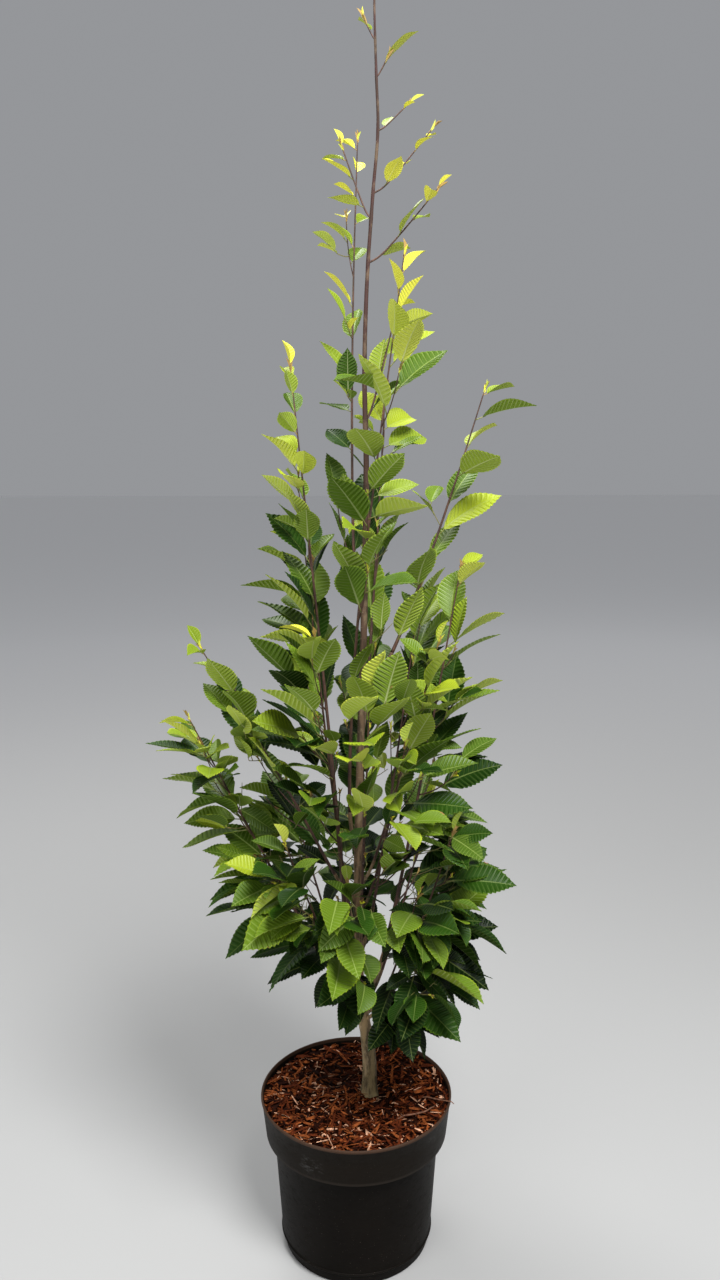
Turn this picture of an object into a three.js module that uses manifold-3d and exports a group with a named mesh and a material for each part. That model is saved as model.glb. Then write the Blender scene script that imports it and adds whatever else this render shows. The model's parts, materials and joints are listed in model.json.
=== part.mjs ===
// A young columnar hornbeam in a round nursery pot, in millimetres with +Z up.
// The origin is the middle of the pot's flat underside. -Y is the front, +X the right.
// The trunk runs whole from the mulch to its tip. Boughs leave it, and each bough runs on
// as the stem of one mass of foliage, whose twigs and leaves are set by a seeded rule.
import * as THREE from "three";
import { mergeVertices } from "three/addons/utils/BufferGeometryUtils.js";
import Module from "manifold-3d";

const wasm = await Module();
wasm.setup();

// Pot, a 26 cm injection moulded container with a stepped collar under its rim
const POT_HEIGHT = 215;
const RIM_RADIUS = 130;
const LIP_HEIGHT = 5;
const COLLAR_TOP_RADIUS = 128.6;
const COLLAR_FOOT_RADIUS = 123.5;
const COLLAR_FOOT_Z = 161;
const COLLAR_STEP = 2;
const WALL_TOP_RADIUS = 112.5;
const WALL_FOOT_RADIUS = 103;
const LEDGE_Z = 18;
const LEDGE_WIDTH = 1.6;
const LEDGE_HEIGHT = 3;
const BASE_RADIUS = 100;
const BASE_CHAMFER = 2;
const POT_WALL = 1.8;
const FLOOR_THICKNESS = 3;
const DRAIN_COUNT = 6;
const DRAIN_RADIUS = 6;
const DRAIN_SIDES = 6;
const DRAIN_RING = 78;
const POT_SIDES = 30;

// Filling, root compost below a layer of bark mulch
const MULCH_TOP = 203;
const MULCH_DEPTH = 24;

// Pieces that touch keep this gap
const GAP = 0.3;

// Trunk, as the line that its middle follows from the mulch to the leader's tip
const TRUNK_FOOT_Z = MULCH_TOP + GAP;
const TRUNK_LINE = [
  [19, 8, TRUNK_FOOT_Z],
  [18, 8, 258],
  [13, 8, 300],
  [5, 8, 370],
  [3, 8, 480],
  [5, 7, 628],
  [9, 6, 760],
  [13, 4, 910],
  [15, 2, 1060],
  [13, 0, 1164],
  [16, -1, 1270],
  [23, -2, 1370],
  [29, -3, 1442],
  [27, -3, 1507],
  [25, -4, 1585],
  [28, -4, 1650],
];
const TRUNK_TOP_Z = 1650;
const TRUNK_TIP_RADIUS = 1.1;
const TRUNK_TAPER = 5.2;
const TRUNK_TAPER_POWER = 0.85;
const FORK_Z = 330;
const FORK_LENGTH = 60;
const FORK_SWELL = 3.2;
const FLARE = 3.4;
const FLARE_HEIGHT = 14;
const TREE_TOP = [29, -5, 1682];
const TRUNK_SIDES = 8;
const TRUNK_STEPS = 22;
const BOUGH_SIDES = 5;
const BOUGH_STEPS = 3;
const STEM_STRETCH = 90;
const TWIG_STEPS = 2;

// Shoots. foot and top are heights, toward is the heading of the tip in degrees, with 0 to
// the right and 90 to the back, and reach is how far out the tip stands from the foot.
// bow: under 1 it spreads first and then climbs. elbow: the share of reach won at the foot.
// twist: how much lower the heading is at the foot. bare: the share that is a leafless bough.
// fresh: the share with young leaves. spread: how far leaves swing off the outward heading.
// step: room between leaves, against the usual. A shoot with bare 0 has no bough.
const USUAL_SHOOT = {
  bow: 0.8,
  elbow: 0.06,
  twist: 0,
  bare: 0.27,
  twigs: 0.5,
  fresh: 0.2,
  spread: 54,
  step: 1,
};
const SHOOTS = [
  { name: "left_low", foot: 335, top: 738, toward: 182, reach: 222, bow: 0.95, thick: 3.6,
    leaf: 90, twigs: 0.6, fresh: 0.3, step: 1.1, seed: 18 },
  { name: "low_front_left", foot: 352, top: 590, toward: 218, reach: 118, bow: 0.85, bare: 0.3,
    thick: 2.8, leaf: 96, twigs: 0.6, fresh: 0.3, seed: 17 },
  { name: "low_front", foot: 345, top: 540, toward: 258, reach: 78, bow: 0.75, thick: 2.4,
    leaf: 86, twigs: 0.6, seed: 28 },
  { name: "low_front_right", foot: 312, top: 520, toward: 318, reach: 92, bow: 0.75, bare: 0.3,
    thick: 2.6, leaf: 90, twigs: 0.6, fresh: 0.1, seed: 28 },
  { name: "right_low", foot: 320, top: 585, toward: 352, reach: 118, bow: 0.7, thick: 2.8,
    leaf: 98, twigs: 0.65, fresh: 0.15, seed: 2 },
  { name: "low_back_right", foot: 330, top: 590, toward: 42, reach: 128, bare: 0.3, thick: 2.8,
    leaf: 94, seed: 16 },
  { name: "low_back", foot: 325, top: 550, toward: 92, reach: 108, bow: 0.75, bare: 0.3,
    thick: 2.6, leaf: 94, seed: 16 },
  { name: "low_back_left", foot: 342, top: 620, toward: 140, reach: 135, bow: 0.85, bare: 0.3,
    thick: 2.8, leaf: 94, seed: 28 },
  { name: "left_tall", foot: 304, top: 1175, toward: 186, reach: 90, bow: 1.15, elbow: 0.18,
    twist: -20, thick: 4.6, leaf: 84, twigs: 0.4, fresh: 0.38, step: 1.25, seed: 16 },
  { name: "left_mid", foot: 480, top: 826, toward: 176, reach: 203, bow: 1.1, bare: 0.25,
    thick: 3, leaf: 88, twigs: 0.45, fresh: 0.3, seed: 20 },
  { name: "right_mid", foot: 335, top: 930, toward: 356, reach: 125, bow: 0.82, thick: 4,
    leaf: 94, twigs: 0.6, seed: 18 },
  { name: "right_inner", foot: 500, top: 840, toward: 332, reach: 112, bow: 0.9, thick: 2.6,
    leaf: 86, fresh: 0.3, seed: 10 },
  { name: "front_left_mid", foot: 436, top: 860, toward: 238, reach: 96, bare: 0.25, thick: 2.8,
    leaf: 94, twigs: 0.6, seed: 17 },
  { name: "front_mid", foot: 440, top: 800, toward: 280, reach: 88, bow: 0.75, bare: 0.25,
    thick: 2.6, leaf: 96, twigs: 0.6, seed: 21 },
  { name: "back_mid", foot: 380, top: 920, toward: 84, reach: 95, thick: 3, leaf: 92, seed: 17 },
  { name: "back_left_mid", foot: 420, top: 980, toward: 133, reach: 108, bow: 0.85, thick: 3,
    leaf: 92, seed: 31 },
  { name: "back_right_mid", foot: 400, top: 900, toward: 40, reach: 110, bow: 0.85, thick: 3,
    leaf: 92, seed: 25 },
  { name: "front_tall", foot: 540, top: 1300, toward: 328, reach: 66, bow: 0.6, twist: 100,
    bare: 0.22, thick: 3.2, leaf: 88, twigs: 0.25, fresh: 0.3, step: 1.3, seed: 30 },
  { name: "right_tall", foot: 770, top: 1150, toward: 2, reach: 152, thick: 3.2, leaf: 90,
    twigs: 0.1, fresh: 0.12, spread: 35, step: 1.25, seed: 5 },
  { name: "left_upright", foot: 872, top: 1440, toward: 110, reach: 20, bow: 0.25, twist: -75,
    bare: 0.12, thick: 2.6, leaf: 70, twigs: 0.1, fresh: 0.6, step: 1.5, seed: 12 },
  { name: "back_tall", foot: 700, top: 1150, toward: 62, reach: 70, bare: 0.22, thick: 3,
    leaf: 88, twigs: 0.2, step: 1.3, seed: 29 },
  { name: "front_right_mid", foot: 470, top: 720, toward: 306, reach: 100, bow: 0.75, bare: 0.25,
    thick: 2.6, leaf: 92, twigs: 0.6, seed: 20 },
  { name: "spur_right", foot: 1110, top: 1250, toward: 10, reach: 40, bow: 0.9, bare: 0,
    thick: 1.6, leaf: 70, twigs: 0, fresh: 0.5, step: 1.2, seed: 20 },
  { name: "twig_right_low", foot: 1295, top: 1378, toward: 358, reach: 82, bow: 0.9, bare: 0,
    thick: 1.4, leaf: 56, twigs: 0, fresh: 0.7, seed: 21 },
  { name: "twig_left", foot: 1345, top: 1425, toward: 180, reach: 34, bow: 0.9, bare: 0,
    thick: 1.2, leaf: 54, twigs: 0, fresh: 0.6, seed: 26 },
  { name: "twig_right_mid", foot: 1373, top: 1446, toward: 4, reach: 70, bow: 0.9, bare: 0,
    thick: 1.2, leaf: 44, twigs: 0, fresh: 0.7, seed: 5 },
  { name: "twig_right_top", foot: 1442, top: 1472, toward: 0, reach: 36, bow: 0.9, bare: 0,
    thick: 1, leaf: 34, twigs: 0, fresh: 0.6, seed: 16 },
  { name: "spur_high_right", foot: 1500, top: 1522, toward: 350, reach: 14, bow: 0.9, bare: 0,
    thick: 0.9, leaf: 64, twigs: 0, fresh: 0.3, seed: 4 },
  { name: "spur_high_left", foot: 1540, top: 1560, toward: 185, reach: 12, bow: 0.9, bare: 0,
    thick: 0.9, leaf: 40, twigs: 0, fresh: 0.6, seed: 9 },
  { name: "spur_high_front", foot: 1600, top: 1622, toward: 300, reach: 14, bow: 0.9, bare: 0,
    thick: 0.8, leaf: 44, twigs: 0, fresh: 0.6, seed: 26 },
];
const LEADER_SEED = 32;

// Growth of stems, twigs and leaves
const STATIONS = [0.12, 0.4, 0.7, 1];
const LEADER_STATIONS = [0, 0.35, 0.7, 1];
const STEM_TIP_RADIUS = 0.75;
const STEM_TAPER_POWER = 0.8;
const NODE_STEP = 28;
const TWIG_STEP = 26;
const TWIG_TIP_RADIUS = 0.6;
const THICKEST_TWIG = 1.5;
const TWIG_SHARE_OF_STEM = 0.6;
const TWIG_SHORTEST = 50;
const TWIG_LONGEST = 120;
const TWIG_STEEPEST = 72;
const TWIG_LIFT = 14;
const TWIG_SWING = 20;
const TWIG_RISE = 22;
const TWIG_SHORTENING = 0.45;
const TWIGS_END = 0.8;
const TWIG_TURNS = [0, 30, -30, 60, -60];
const LEAF_WIDTH = 0.46;
const LEAF_THICKNESS = 0.015;
const THINNEST_LEAF = 0.8;
const FOOT_DEPTH = 0.35;
const PETIOLE = 0.13;
const YOUNG_SIZE = 0.42;
const LOW_LEAF_RISE = -22;
const HIGH_LEAF_RISE = 40;
const RISE_FROM_Z = 330;
const RISE_SPAN = 520;
const SPACE_MARGIN = 1;
const LIMB_CLEARANCE = 2.5;
const LEAF_SPACING = 17;
const OUT_OF_REACH = 195;
const POT_CLEARANCE_Z = 212;
const SHRINKS = [1, 0.85, 0.7];
const LEAF_YAW = 30;
const TWIG_LEAF_YAW = 25;
const TWIG_LEAF_SWING = 55;
const RISE_SWING = 22;
const ROLL_SWING = 40;
const ARCH = [0.15, 0.8];
const FOLD = [0.08, 0.4];
const SIZE_SWING = 0.16;
const FIRST_LEAF_SIZE = 0.85;
const FIRST_LEAF_AT = { bough: 16, longShoot: 26, shortShoot: 12 };
const LONG_SHOOT = 50;
const BARE_TIP = 3;
const NEAR_TRUNK = 14;
const USUAL_LEAF = 80;
const END_LEAF = { arch: 0.3, fold: 0.5, broad: 0.4, young: 1 };
const END_LEAF_SIZE = 0.4;
const STEEPEST_END_LEAF = 80;

// Where a leaf may turn when its own heading is taken: how far it turns, in degrees, towards
// its own side of the stem, and how much its rise changes
const TWIG_LEAF_TRIES = [
  [0, 0], [-25, 0], [25, 0], [0, 28], [0, -30], [-50, 0], [50, 0], [-50, 28],
];
const STEM_LEAF_TRIES = [
  [0, 0], [-25, 0], [25, 0], [0, 28], [0, -30], [-50, 0], [-50, 28], [-75, 0], [-50, -30],
  [-100, 0], [50, 0], [50, 25], [-140, 10],
];
const END_LEAF_TRIES = [[0, 0], [20, 0], [-20, 0]];

const UP = new THREE.Vector3(0, 0, 1);
const mix = (a, b, share) => a + (b - a) * share;
const clamp = (x) => Math.max(0, Math.min(1, x));
const degrees = (x) => (x * Math.PI) / 180;
const heading = (a) => new THREE.Vector3(Math.cos(degrees(a)), Math.sin(degrees(a)), 0);
const vector = (p) => new THREE.Vector3(...p);

// A curve through points, each stretch a cubic with slopes from its neighbours
const curveThrough = (points) => new THREE.CatmullRomCurve3(points, false, "catmullrom", 0.5);
const trunkCurve = curveThrough(TRUNK_LINE.map(vector));

function pointAtHeight(curve, z) {
  let low = 0;
  let high = 1;
  for (let i = 0; i < 40; i++) {
    const middle = (low + high) / 2;
    if (curve.getPoint(middle).z < z) low = middle;
    else high = middle;
  }
  return curve.getPoint(low);
}

function trunkRadius(z) {
  const climbed = clamp((z - MULCH_TOP) / (TRUNK_TOP_Z - MULCH_TOP));
  const taper = TRUNK_TAPER * (1 - climbed) ** TRUNK_TAPER_POWER + TRUNK_TIP_RADIUS;
  const fork = FORK_SWELL * clamp((FORK_Z - z) / FORK_LENGTH);
  return taper + fork + FLARE * Math.exp(-(z - MULCH_TOP) / FLARE_HEIGHT);
}

const stemRadius = (shoot, share) => mix(shoot.thick, STEM_TIP_RADIUS, share ** STEM_TAPER_POWER);
const leafRise = (z) => mix(LOW_LEAF_RISE, HIGH_LEAF_RISE, clamp((z - RISE_FROM_Z) / RISE_SPAN));

function shootCurve(shoot) {
  const foot = pointAtHeight(trunkCurve, shoot.foot);
  const stations = STATIONS.map((u) => {
    const out = shoot.reach * ((1 - shoot.elbow) * u ** shoot.bow + shoot.elbow);
    return heading(shoot.toward - shoot.twist * (1 - u))
      .multiplyScalar(out)
      .add(foot)
      .addScaledVector(UP, (shoot.top - shoot.foot) * u);
  });
  return curveThrough([foot, ...stations]);
}

// Seeded draws from 0 to 1, a Lehmer sequence
function makeDraw(seed) {
  let state = (seed * 7919 + 17) % 2147483647;
  const draw = () => {
    state = (state * 16807) % 2147483647;
    return state / 2147483647;
  };
  draw.swing = (half) => (draw() * 2 - 1) * half;
  for (let i = 0; i < 3; i++) draw();
  return draw;
}

const pointsOn = (curve, from, to, steps) =>
  Array.from({ length: steps + 1 }, (_, k) => curve.getPoint(mix(from, to, k / steps)));

const shoots = SHOOTS.map((own) => {
  const shoot = { ...USUAL_SHOOT, ...own };
  shoot.curve = shootCurve(shoot);
  return shoot;
});
const top = vector(TREE_TOP);
const trunkTip = vector(TRUNK_LINE.at(-1));
const LEADER_TIP = {
  ...USUAL_SHOOT, name: "leader_tip", toward: 0, bare: 0, twigs: 0, fresh: 1,
  thick: 1.2, leaf: 50, seed: LEADER_SEED,
  curve: curveThrough(LEADER_STATIONS.map((u) => trunkTip.clone().lerp(top, u))),
};
shoots.push(LEADER_TIP);

// What leaves and twigs keep clear of: limbs with their radii, and the stems, which share
// out the space, so that each mass holds what lies nearer to its own stem than to any other
function segments(points, extra) {
  return points.slice(1).map((end, k) => ({ start: points[k], end, ...extra(points[k], end) }));
}
const TRUNK_SEGMENTS = 60;
const BOUGH_SEGMENTS = 6;
const STEM_SEGMENTS = 12;
const limbs = segments(pointsOn(trunkCurve, 0, 1, TRUNK_SEGMENTS), (a, b) => ({
  radius: trunkRadius((a.z + b.z) / 2),
}));
shoots
  .filter((shoot) => shoot.bare > 0)
  .forEach((shoot) => {
    const points = pointsOn(shoot.curve, 0, shoot.bare, BOUGH_SEGMENTS);
    limbs.push(...segments(points, () => ({ radius: shoot.thick })));
  });
const stems = shoots.flatMap((shoot) =>
  segments(pointsOn(shoot.curve, shoot.bare, 1, STEM_SEGMENTS), () => ({ owner: shoot })),
);

const line = new THREE.Line3();
const foundPoint = new THREE.Vector3();
function distanceTo(point, segment) {
  line.set(segment.start, segment.end);
  return line.closestPointToPoint(point, true, foundPoint).distanceTo(point);
}
const near = (segment, foot) => distanceTo(foot, segment) < OUT_OF_REACH;

function keepsClear(points, shoot, foot) {
  const nearLimbs = limbs.filter((limb) => near(limb, foot));
  const nearStems = stems.filter((stem) => near(stem, foot));
  return points.every((point) => {
    if (nearLimbs.some((limb) => distanceTo(point, limb) - limb.radius < LIMB_CLEARANCE)) return false;
    let own = Infinity;
    let other = Infinity;
    for (const stem of nearStems) {
      const distance = distanceTo(point, stem);
      if (stem.owner === shoot) own = Math.min(own, distance);
      else other = Math.min(other, distance);
    }
    return other - own > 2 * SPACE_MARGIN;
  });
}

// A leaf's rows from its foot to its tip: left edge, midrib and right edge
function leafRows(leaf, shares, halfWidths) {
  const side = leaf.along.clone().cross(leaf.up);
  const rib = leaf.foot.clone();
  let last = 0;
  return shares.map((share, k) => {
    const bend = (-leaf.arch * (share + last)) / 2;
    rib
      .addScaledVector(leaf.along, Math.cos(bend) * leaf.length * (share - last))
      .addScaledVector(leaf.up, Math.sin(bend) * leaf.length * (share - last));
    last = share;
    const turn = -leaf.arch * share;
    const normal = leaf.up
      .clone()
      .multiplyScalar(Math.cos(turn))
      .addScaledVector(leaf.along, -Math.sin(turn));
    const half = halfWidths[k] * leaf.width;
    const edge = (sign) =>
      rib.clone().addScaledVector(side, sign * half).addScaledVector(normal, half * leaf.fold);
    return { left: edge(1), middle: rib.clone(), right: edge(-1), normal };
  });
}

const TEST_SHARES = [0, PETIOLE, 0.22, 0.42, 0.64, 0.84, 1];
const TEST_HALF_WIDTHS = [0.02, 0.04, 0.3, 0.5, 0.46, 0.26, 0];
function leafTestPoints(leaf) {
  const rows = leafRows(leaf, TEST_SHARES, TEST_HALF_WIDTHS);
  const sides = ["left", "middle", "right"];
  const points = rows.slice(1).flatMap((row) => sides.map((side) => row[side]));
  const between = rows
    .slice(2)
    .flatMap((row, k) => sides.map((side) => row[side].clone().lerp(rows[k + 1][side], 0.5)));
  leaf.ribPoints = [2, 3, 4, 5].map((k) => rows[k].middle);
  return [...points, ...between];
}

const crowds = (leaf, others) =>
  others.some((other) =>
    leaf.ribPoints.some((p) => other.ribPoints.some((q) => p.distanceTo(q) < LEAF_SPACING)),
  );

// A leaf tries its own heading first, at each of its sizes, and then the other tries
function placeLeaf(shoot, foot, at, side, tries, shrinks, placed) {
  for (const shrink of shrinks) {
    for (const [turn, change] of tries) {
      const out = heading(at.azimuth + side * turn);
      const rise = degrees(at.rise + change);
      const along = out.clone().multiplyScalar(Math.cos(rise)).addScaledVector(UP, Math.sin(rise));
      const up = out.clone().multiplyScalar(-Math.sin(rise)).addScaledVector(UP, Math.cos(rise));
      up.applyAxisAngle(along, degrees(at.roll));
      const leaf = {
        foot: foot.clone(),
        along,
        up,
        length: at.length * shrink,
        width: at.length * shrink * at.broad,
        arch: at.arch,
        fold: at.fold,
        young: at.young,
      };
      const points = leafTestPoints(leaf);
      if (Math.min(...points.map((p) => p.z)) < POT_CLEARANCE_Z) continue;
      if (crowds(leaf, placed)) continue;
      if (!keepsClear(points, shoot, foot)) continue;
      placed.push(leaf);
      return true;
    }
  }
  return false;
}

// Habit of one leaf, all drawn before it is known whether the leaf fits
const drawHabit = (draw, yaw) => ({
  yaw: draw.swing(yaw),
  rise: draw.swing(RISE_SWING),
  roll: draw.swing(ROLL_SWING),
  arch: mix(...ARCH, draw()),
  fold: mix(...FOLD, draw()),
});

function growTwig(shoot, foot, azimuth, rise, length, size, radius, draw, leaves, twigs) {
  const count = Math.max(2, Math.floor(length / TWIG_STEP));
  const habits = Array.from({ length: count + 1 }, () => ({
    ...drawHabit(draw, TWIG_LEAF_YAW),
    size: draw(),
  }));
  const steep = Math.min(rise, TWIG_STEEPEST);
  for (const turn of TWIG_TURNS) {
    const out = heading(azimuth + turn);
    const stations = [0, 1 / 3, 2 / 3, 1].map((u) => {
      const climb = degrees(steep + TWIG_LIFT * u);
      return foot
        .clone()
        .addScaledVector(out, Math.cos(climb) * length * u)
        .addScaledVector(UP, Math.sin(climb) * length * u);
    });
    const curve = curveThrough(stations);
    if (!keepsClear(pointsOn(curve, 0.12, 1, 6), shoot, foot)) continue;
    twigs.push({ curve, radius: Math.min(radius * TWIG_SHARE_OF_STEM, THICKEST_TWIG) });
    habits.forEach((habit, k) => {
      const last = k === count;
      const side = k % 2 ? 1 : -1;
      const along = (k + 0.7) / (count + 0.7);
      const young = clamp((along - 0.5) * 1.4) * 0.6;
      const point = curve.getPoint(Math.min(along, 1));
      const at = {
        azimuth: azimuth + turn + (last ? 0 : side * TWIG_LEAF_SWING) + habit.yaw,
        rise: leafRise(point.z) + habit.rise,
        roll: habit.roll,
        arch: habit.arch,
        fold: habit.fold,
        length: size * mix(1, 0.6, young) * (0.9 + 0.2 * habit.size),
        broad: LEAF_WIDTH,
        young,
      };
      placeLeaf(shoot, point, at, side, TWIG_LEAF_TRIES, SHRINKS, leaves);
    });
    return true;
  }
  return false;
}

function growShoot(shoot) {
  const draw = makeDraw(shoot.seed);
  const leaves = [];
  const twigs = [];
  const ruler = pointsOn(shoot.curve, shoot.bare, 1, 24);
  const length = ruler.slice(1).reduce((sum, p, k) => sum + p.distanceTo(ruler[k]), 0);
  const noBough = length > LONG_SHOOT ? FIRST_LEAF_AT.longShoot : FIRST_LEAF_AT.shortShoot;
  let at = shoot.bare > 0 ? FIRST_LEAF_AT.bough : noBough;
  let side = draw() < 0.5 ? 1 : -1;
  let first = true;
  while (at < length - BARE_TIP) {
    const along = at / length;
    const young = clamp((along - 1 + shoot.fresh) / shoot.fresh);
    const grown = mix(1, YOUNG_SIZE, young ** 1.3) * (1 + draw.swing(SIZE_SWING));
    const size = shoot.leaf * grown * (first ? FIRST_LEAF_SIZE : 1);
    side = -side;
    const habit = drawHabit(draw, LEAF_YAW);
    const isTwig = draw() < shoot.twigs && along < TWIGS_END;
    const reach = mix(TWIG_SHORTEST, TWIG_LONGEST, draw()) * (1 - TWIG_SHORTENING * along);
    const share = mix(shoot.bare, 1, along);
    const point = shoot.curve.getPoint(share);
    const middle = pointAtHeight(trunkCurve, Math.min(point.z, TRUNK_TOP_Z - 1));
    const off = Math.hypot(point.x - middle.x, point.y - middle.y);
    const outward = Math.atan2(point.y - middle.y, point.x - middle.x) * (180 / Math.PI);
    const facing = off > NEAR_TRUNK ? outward : shoot.toward;
    const azimuth = facing + side * shoot.spread + habit.yaw;
    const rise = leafRise(point.z) + habit.rise;
    const radius = stemRadius(shoot, share);
    const onTwig =
      isTwig &&
      growTwig(shoot, point, azimuth - side * TWIG_SWING, rise + TWIG_RISE, reach, size, radius,
        draw, leaves, twigs);
    const habitHere = { ...habit, azimuth, rise, length: size, broad: LEAF_WIDTH, young };
    if (!onTwig) placeLeaf(shoot, point, habitHere, side, STEM_LEAF_TRIES, SHRINKS, leaves);
    first = false;
    const room = NODE_STEP * shoot.step * mix(1, 0.5, young) * (0.9 + 0.2 * draw());
    at += room * mix(0.8, 1, shoot.leaf / USUAL_LEAF);
  }
  const end = shoot.curve.getPoint(1);
  const onward = end.clone().sub(shoot.curve.getPoint(0.97)).normalize();
  const endHabit = {
    ...END_LEAF,
    azimuth: Math.atan2(onward.y, onward.x) * (180 / Math.PI),
    rise: Math.min(Math.asin(onward.z) * (180 / Math.PI), STEEPEST_END_LEAF),
    roll: draw.swing(ROLL_SWING),
    length: shoot.leaf * END_LEAF_SIZE,
  };
  placeLeaf(shoot, end, endHabit, 1, END_LEAF_TRIES, [1], leaves);
  return { leaves, twigs };
}

// Geometry as manifold solids and back
function toSolid(geometry) {
  geometry.deleteAttribute("normal");
  geometry.deleteAttribute("uv");
  const merged = mergeVertices(geometry, 1e-4);
  return new wasm.Manifold(
    new wasm.Mesh({
      numProp: 3,
      vertProperties: merged.attributes.position.array,
      triVerts: new Uint32Array(merged.index.array),
    }),
  );
}

function toGeometry(solid) {
  const { vertProperties, triVerts } = solid.getMesh();
  const geometry = new THREE.BufferGeometry();
  geometry.setAttribute("position", new THREE.BufferAttribute(vertProperties, 3));
  geometry.setIndex(new THREE.BufferAttribute(triVerts, 1));
  geometry.computeVertexNormals();
  return geometry;
}

// The largest body of a solid, without loose scraps or sealed hollows
function largestBody(solid) {
  return solid.decompose().reduce((a, b) => (b.volume() > a.volume() ? b : a));
}

// Moves each vertex of a cylinder or cone to where place puts its turn and its height share
function reshape(geometry, place) {
  const position = geometry.attributes.position;
  for (let i = 0; i < position.count; i++) {
    const x = position.getX(i);
    const z = position.getZ(i);
    const target = place(Math.atan2(z, x), position.getY(i) + 0.5, Math.hypot(x, z));
    position.setXYZ(i, target.x, target.y, target.z);
  }
  return toSolid(geometry);
}

// A round limb along a curve from one share of it to another
function limb(curve, from, to, steps, sides, radiusAt) {
  const chord = curve.getPoint(to).sub(curve.getPoint(from)).normalize();
  const across = Math.abs(chord.z) > 0.97 ? new THREE.Vector3(1, 0, 0) : chord.clone().cross(UP);
  return reshape(new THREE.CylinderGeometry(1, 1, 1, sides, steps), (turn, height, ring) => {
    const share = mix(from, to, height);
    const middle = curve.getPoint(share);
    const along = curve.getTangent(share);
    const first = along.clone().cross(across).normalize();
    const second = first.clone().cross(along);
    const radius = radiusAt(share, middle) * ring;
    return middle
      .addScaledVector(first, Math.cos(turn) * radius)
      .addScaledVector(second, Math.sin(turn) * radius);
  });
}

// A leaf is a four sided cone pressed flat. The middle of its base is drawn back to the
// leaf's foot, its base ring is the widest row, and its apex is the leaf's tip.
const WIDEST_SHARE = 0.44;
const WIDEST_HALF = 0.56;
function leafSolid(leaf) {
  const [foot, widest, tip] = leafRows(leaf, [0, WIDEST_SHARE, 1], [0, WIDEST_HALF, 0]);
  const half = Math.max(THINNEST_LEAF, leaf.length * LEAF_THICKNESS) / 2;
  return reshape(new THREE.ConeGeometry(1, 1, 4, 1), (turn, height, ring) => {
    if (height > 0.5) return tip.middle.clone();
    if (ring < 0.5) return foot.middle.clone().addScaledVector(leaf.along, -FOOT_DEPTH);
    const quarter = Math.round((turn / Math.PI) * 2 + 4) % 4;
    if (quarter === 1) return widest.left.clone();
    if (quarter === 3) return widest.right.clone();
    return widest.middle.clone().addScaledVector(widest.normal, quarter === 0 ? -half : half);
  });
}

function swollen(curve, from, to, steps, sides, radiusAt) {
  return limb(curve, from, to, steps, sides, (share, at) => radiusAt(share, at) + GAP);
}

const THREE_SIDED = 1.55;
function massSolid(shoot, standing) {
  const gap = shoot.bare > 0 ? GAP / shoot.curve.getLength() : 0;
  const steps = Math.max(3, Math.round(shoot.curve.getLength() / STEM_STRETCH));
  let solid = limb(shoot.curve, shoot.bare + gap, 1, steps, 3, (share) =>
    stemRadius(shoot, share) * THREE_SIDED);
  solid = solid.subtract(standing);
  const { leaves, twigs } = growShoot(shoot);
  for (const twig of twigs)
    solid = solid.add(
      limb(twig.curve, 0, 1, TWIG_STEPS, 3, (share) =>
        mix(twig.radius, TWIG_TIP_RADIUS, share) * THREE_SIDED),
    );
  for (const leaf of leaves) solid = solid.add(leafSolid(leaf));
  return largestBody(solid);
}

// Materials
const finish = (color, roughness) => new THREE.MeshStandardMaterial({ color, roughness, metalness: 0 });
const bark = (color) => finish(color, 0.85);

const tree = new THREE.Group();
function addMesh(name, geometry, material) {
  const mesh = new THREE.Mesh(geometry, material);
  mesh.name = name;
  tree.add(mesh);
}

// Pot
function lathe(profile) {
  const points = profile.map(([r, z]) => new THREE.Vector2(r, z));
  return toSolid(new THREE.LatheGeometry(points, POT_SIDES).rotateX(Math.PI / 2));
}

function innerWallRadius(z) {
  const share = (z - LEDGE_Z) / (COLLAR_FOOT_Z - LEDGE_Z);
  return mix(WALL_FOOT_RADIUS, WALL_TOP_RADIUS, share) - POT_WALL;
}

function pot() {
  const collarInner = COLLAR_FOOT_RADIUS - POT_WALL;
  const stepZ = COLLAR_FOOT_Z - COLLAR_STEP;
  const lipFoot = POT_HEIGHT - LIP_HEIGHT;
  let solid = lathe([
    [0, 0],
    [BASE_RADIUS - BASE_CHAMFER, 0],
    [BASE_RADIUS, BASE_CHAMFER],
    [WALL_FOOT_RADIUS - 1, LEDGE_Z - LEDGE_HEIGHT],
    [WALL_FOOT_RADIUS + LEDGE_WIDTH, LEDGE_Z - LEDGE_HEIGHT / 2],
    [WALL_FOOT_RADIUS, LEDGE_Z],
    [WALL_TOP_RADIUS, stepZ],
    [COLLAR_FOOT_RADIUS, COLLAR_FOOT_Z],
    [COLLAR_TOP_RADIUS, lipFoot],
    [RIM_RADIUS, POT_HEIGHT - LIP_HEIGHT / 2],
    [RIM_RADIUS - 1, POT_HEIGHT],
    [RIM_RADIUS - 2.6, POT_HEIGHT],
    [COLLAR_TOP_RADIUS - POT_WALL, lipFoot],
    [collarInner, COLLAR_FOOT_Z],
    [innerWallRadius(stepZ), stepZ],
    [innerWallRadius(FLOOR_THICKNESS), FLOOR_THICKNESS],
    [0, FLOOR_THICKNESS],
  ]);
  for (let i = 0; i < DRAIN_COUNT; i++) {
    const out = heading((360 / DRAIN_COUNT) * i).multiplyScalar(DRAIN_RING);
    const hole = new THREE.CylinderGeometry(DRAIN_RADIUS, DRAIN_RADIUS, 4 * FLOOR_THICKNESS, DRAIN_SIDES)
      .rotateX(Math.PI / 2)
      .translate(out.x, out.y, 0);
    solid = solid.subtract(toSolid(hole));
  }
  return solid;
}

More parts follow.
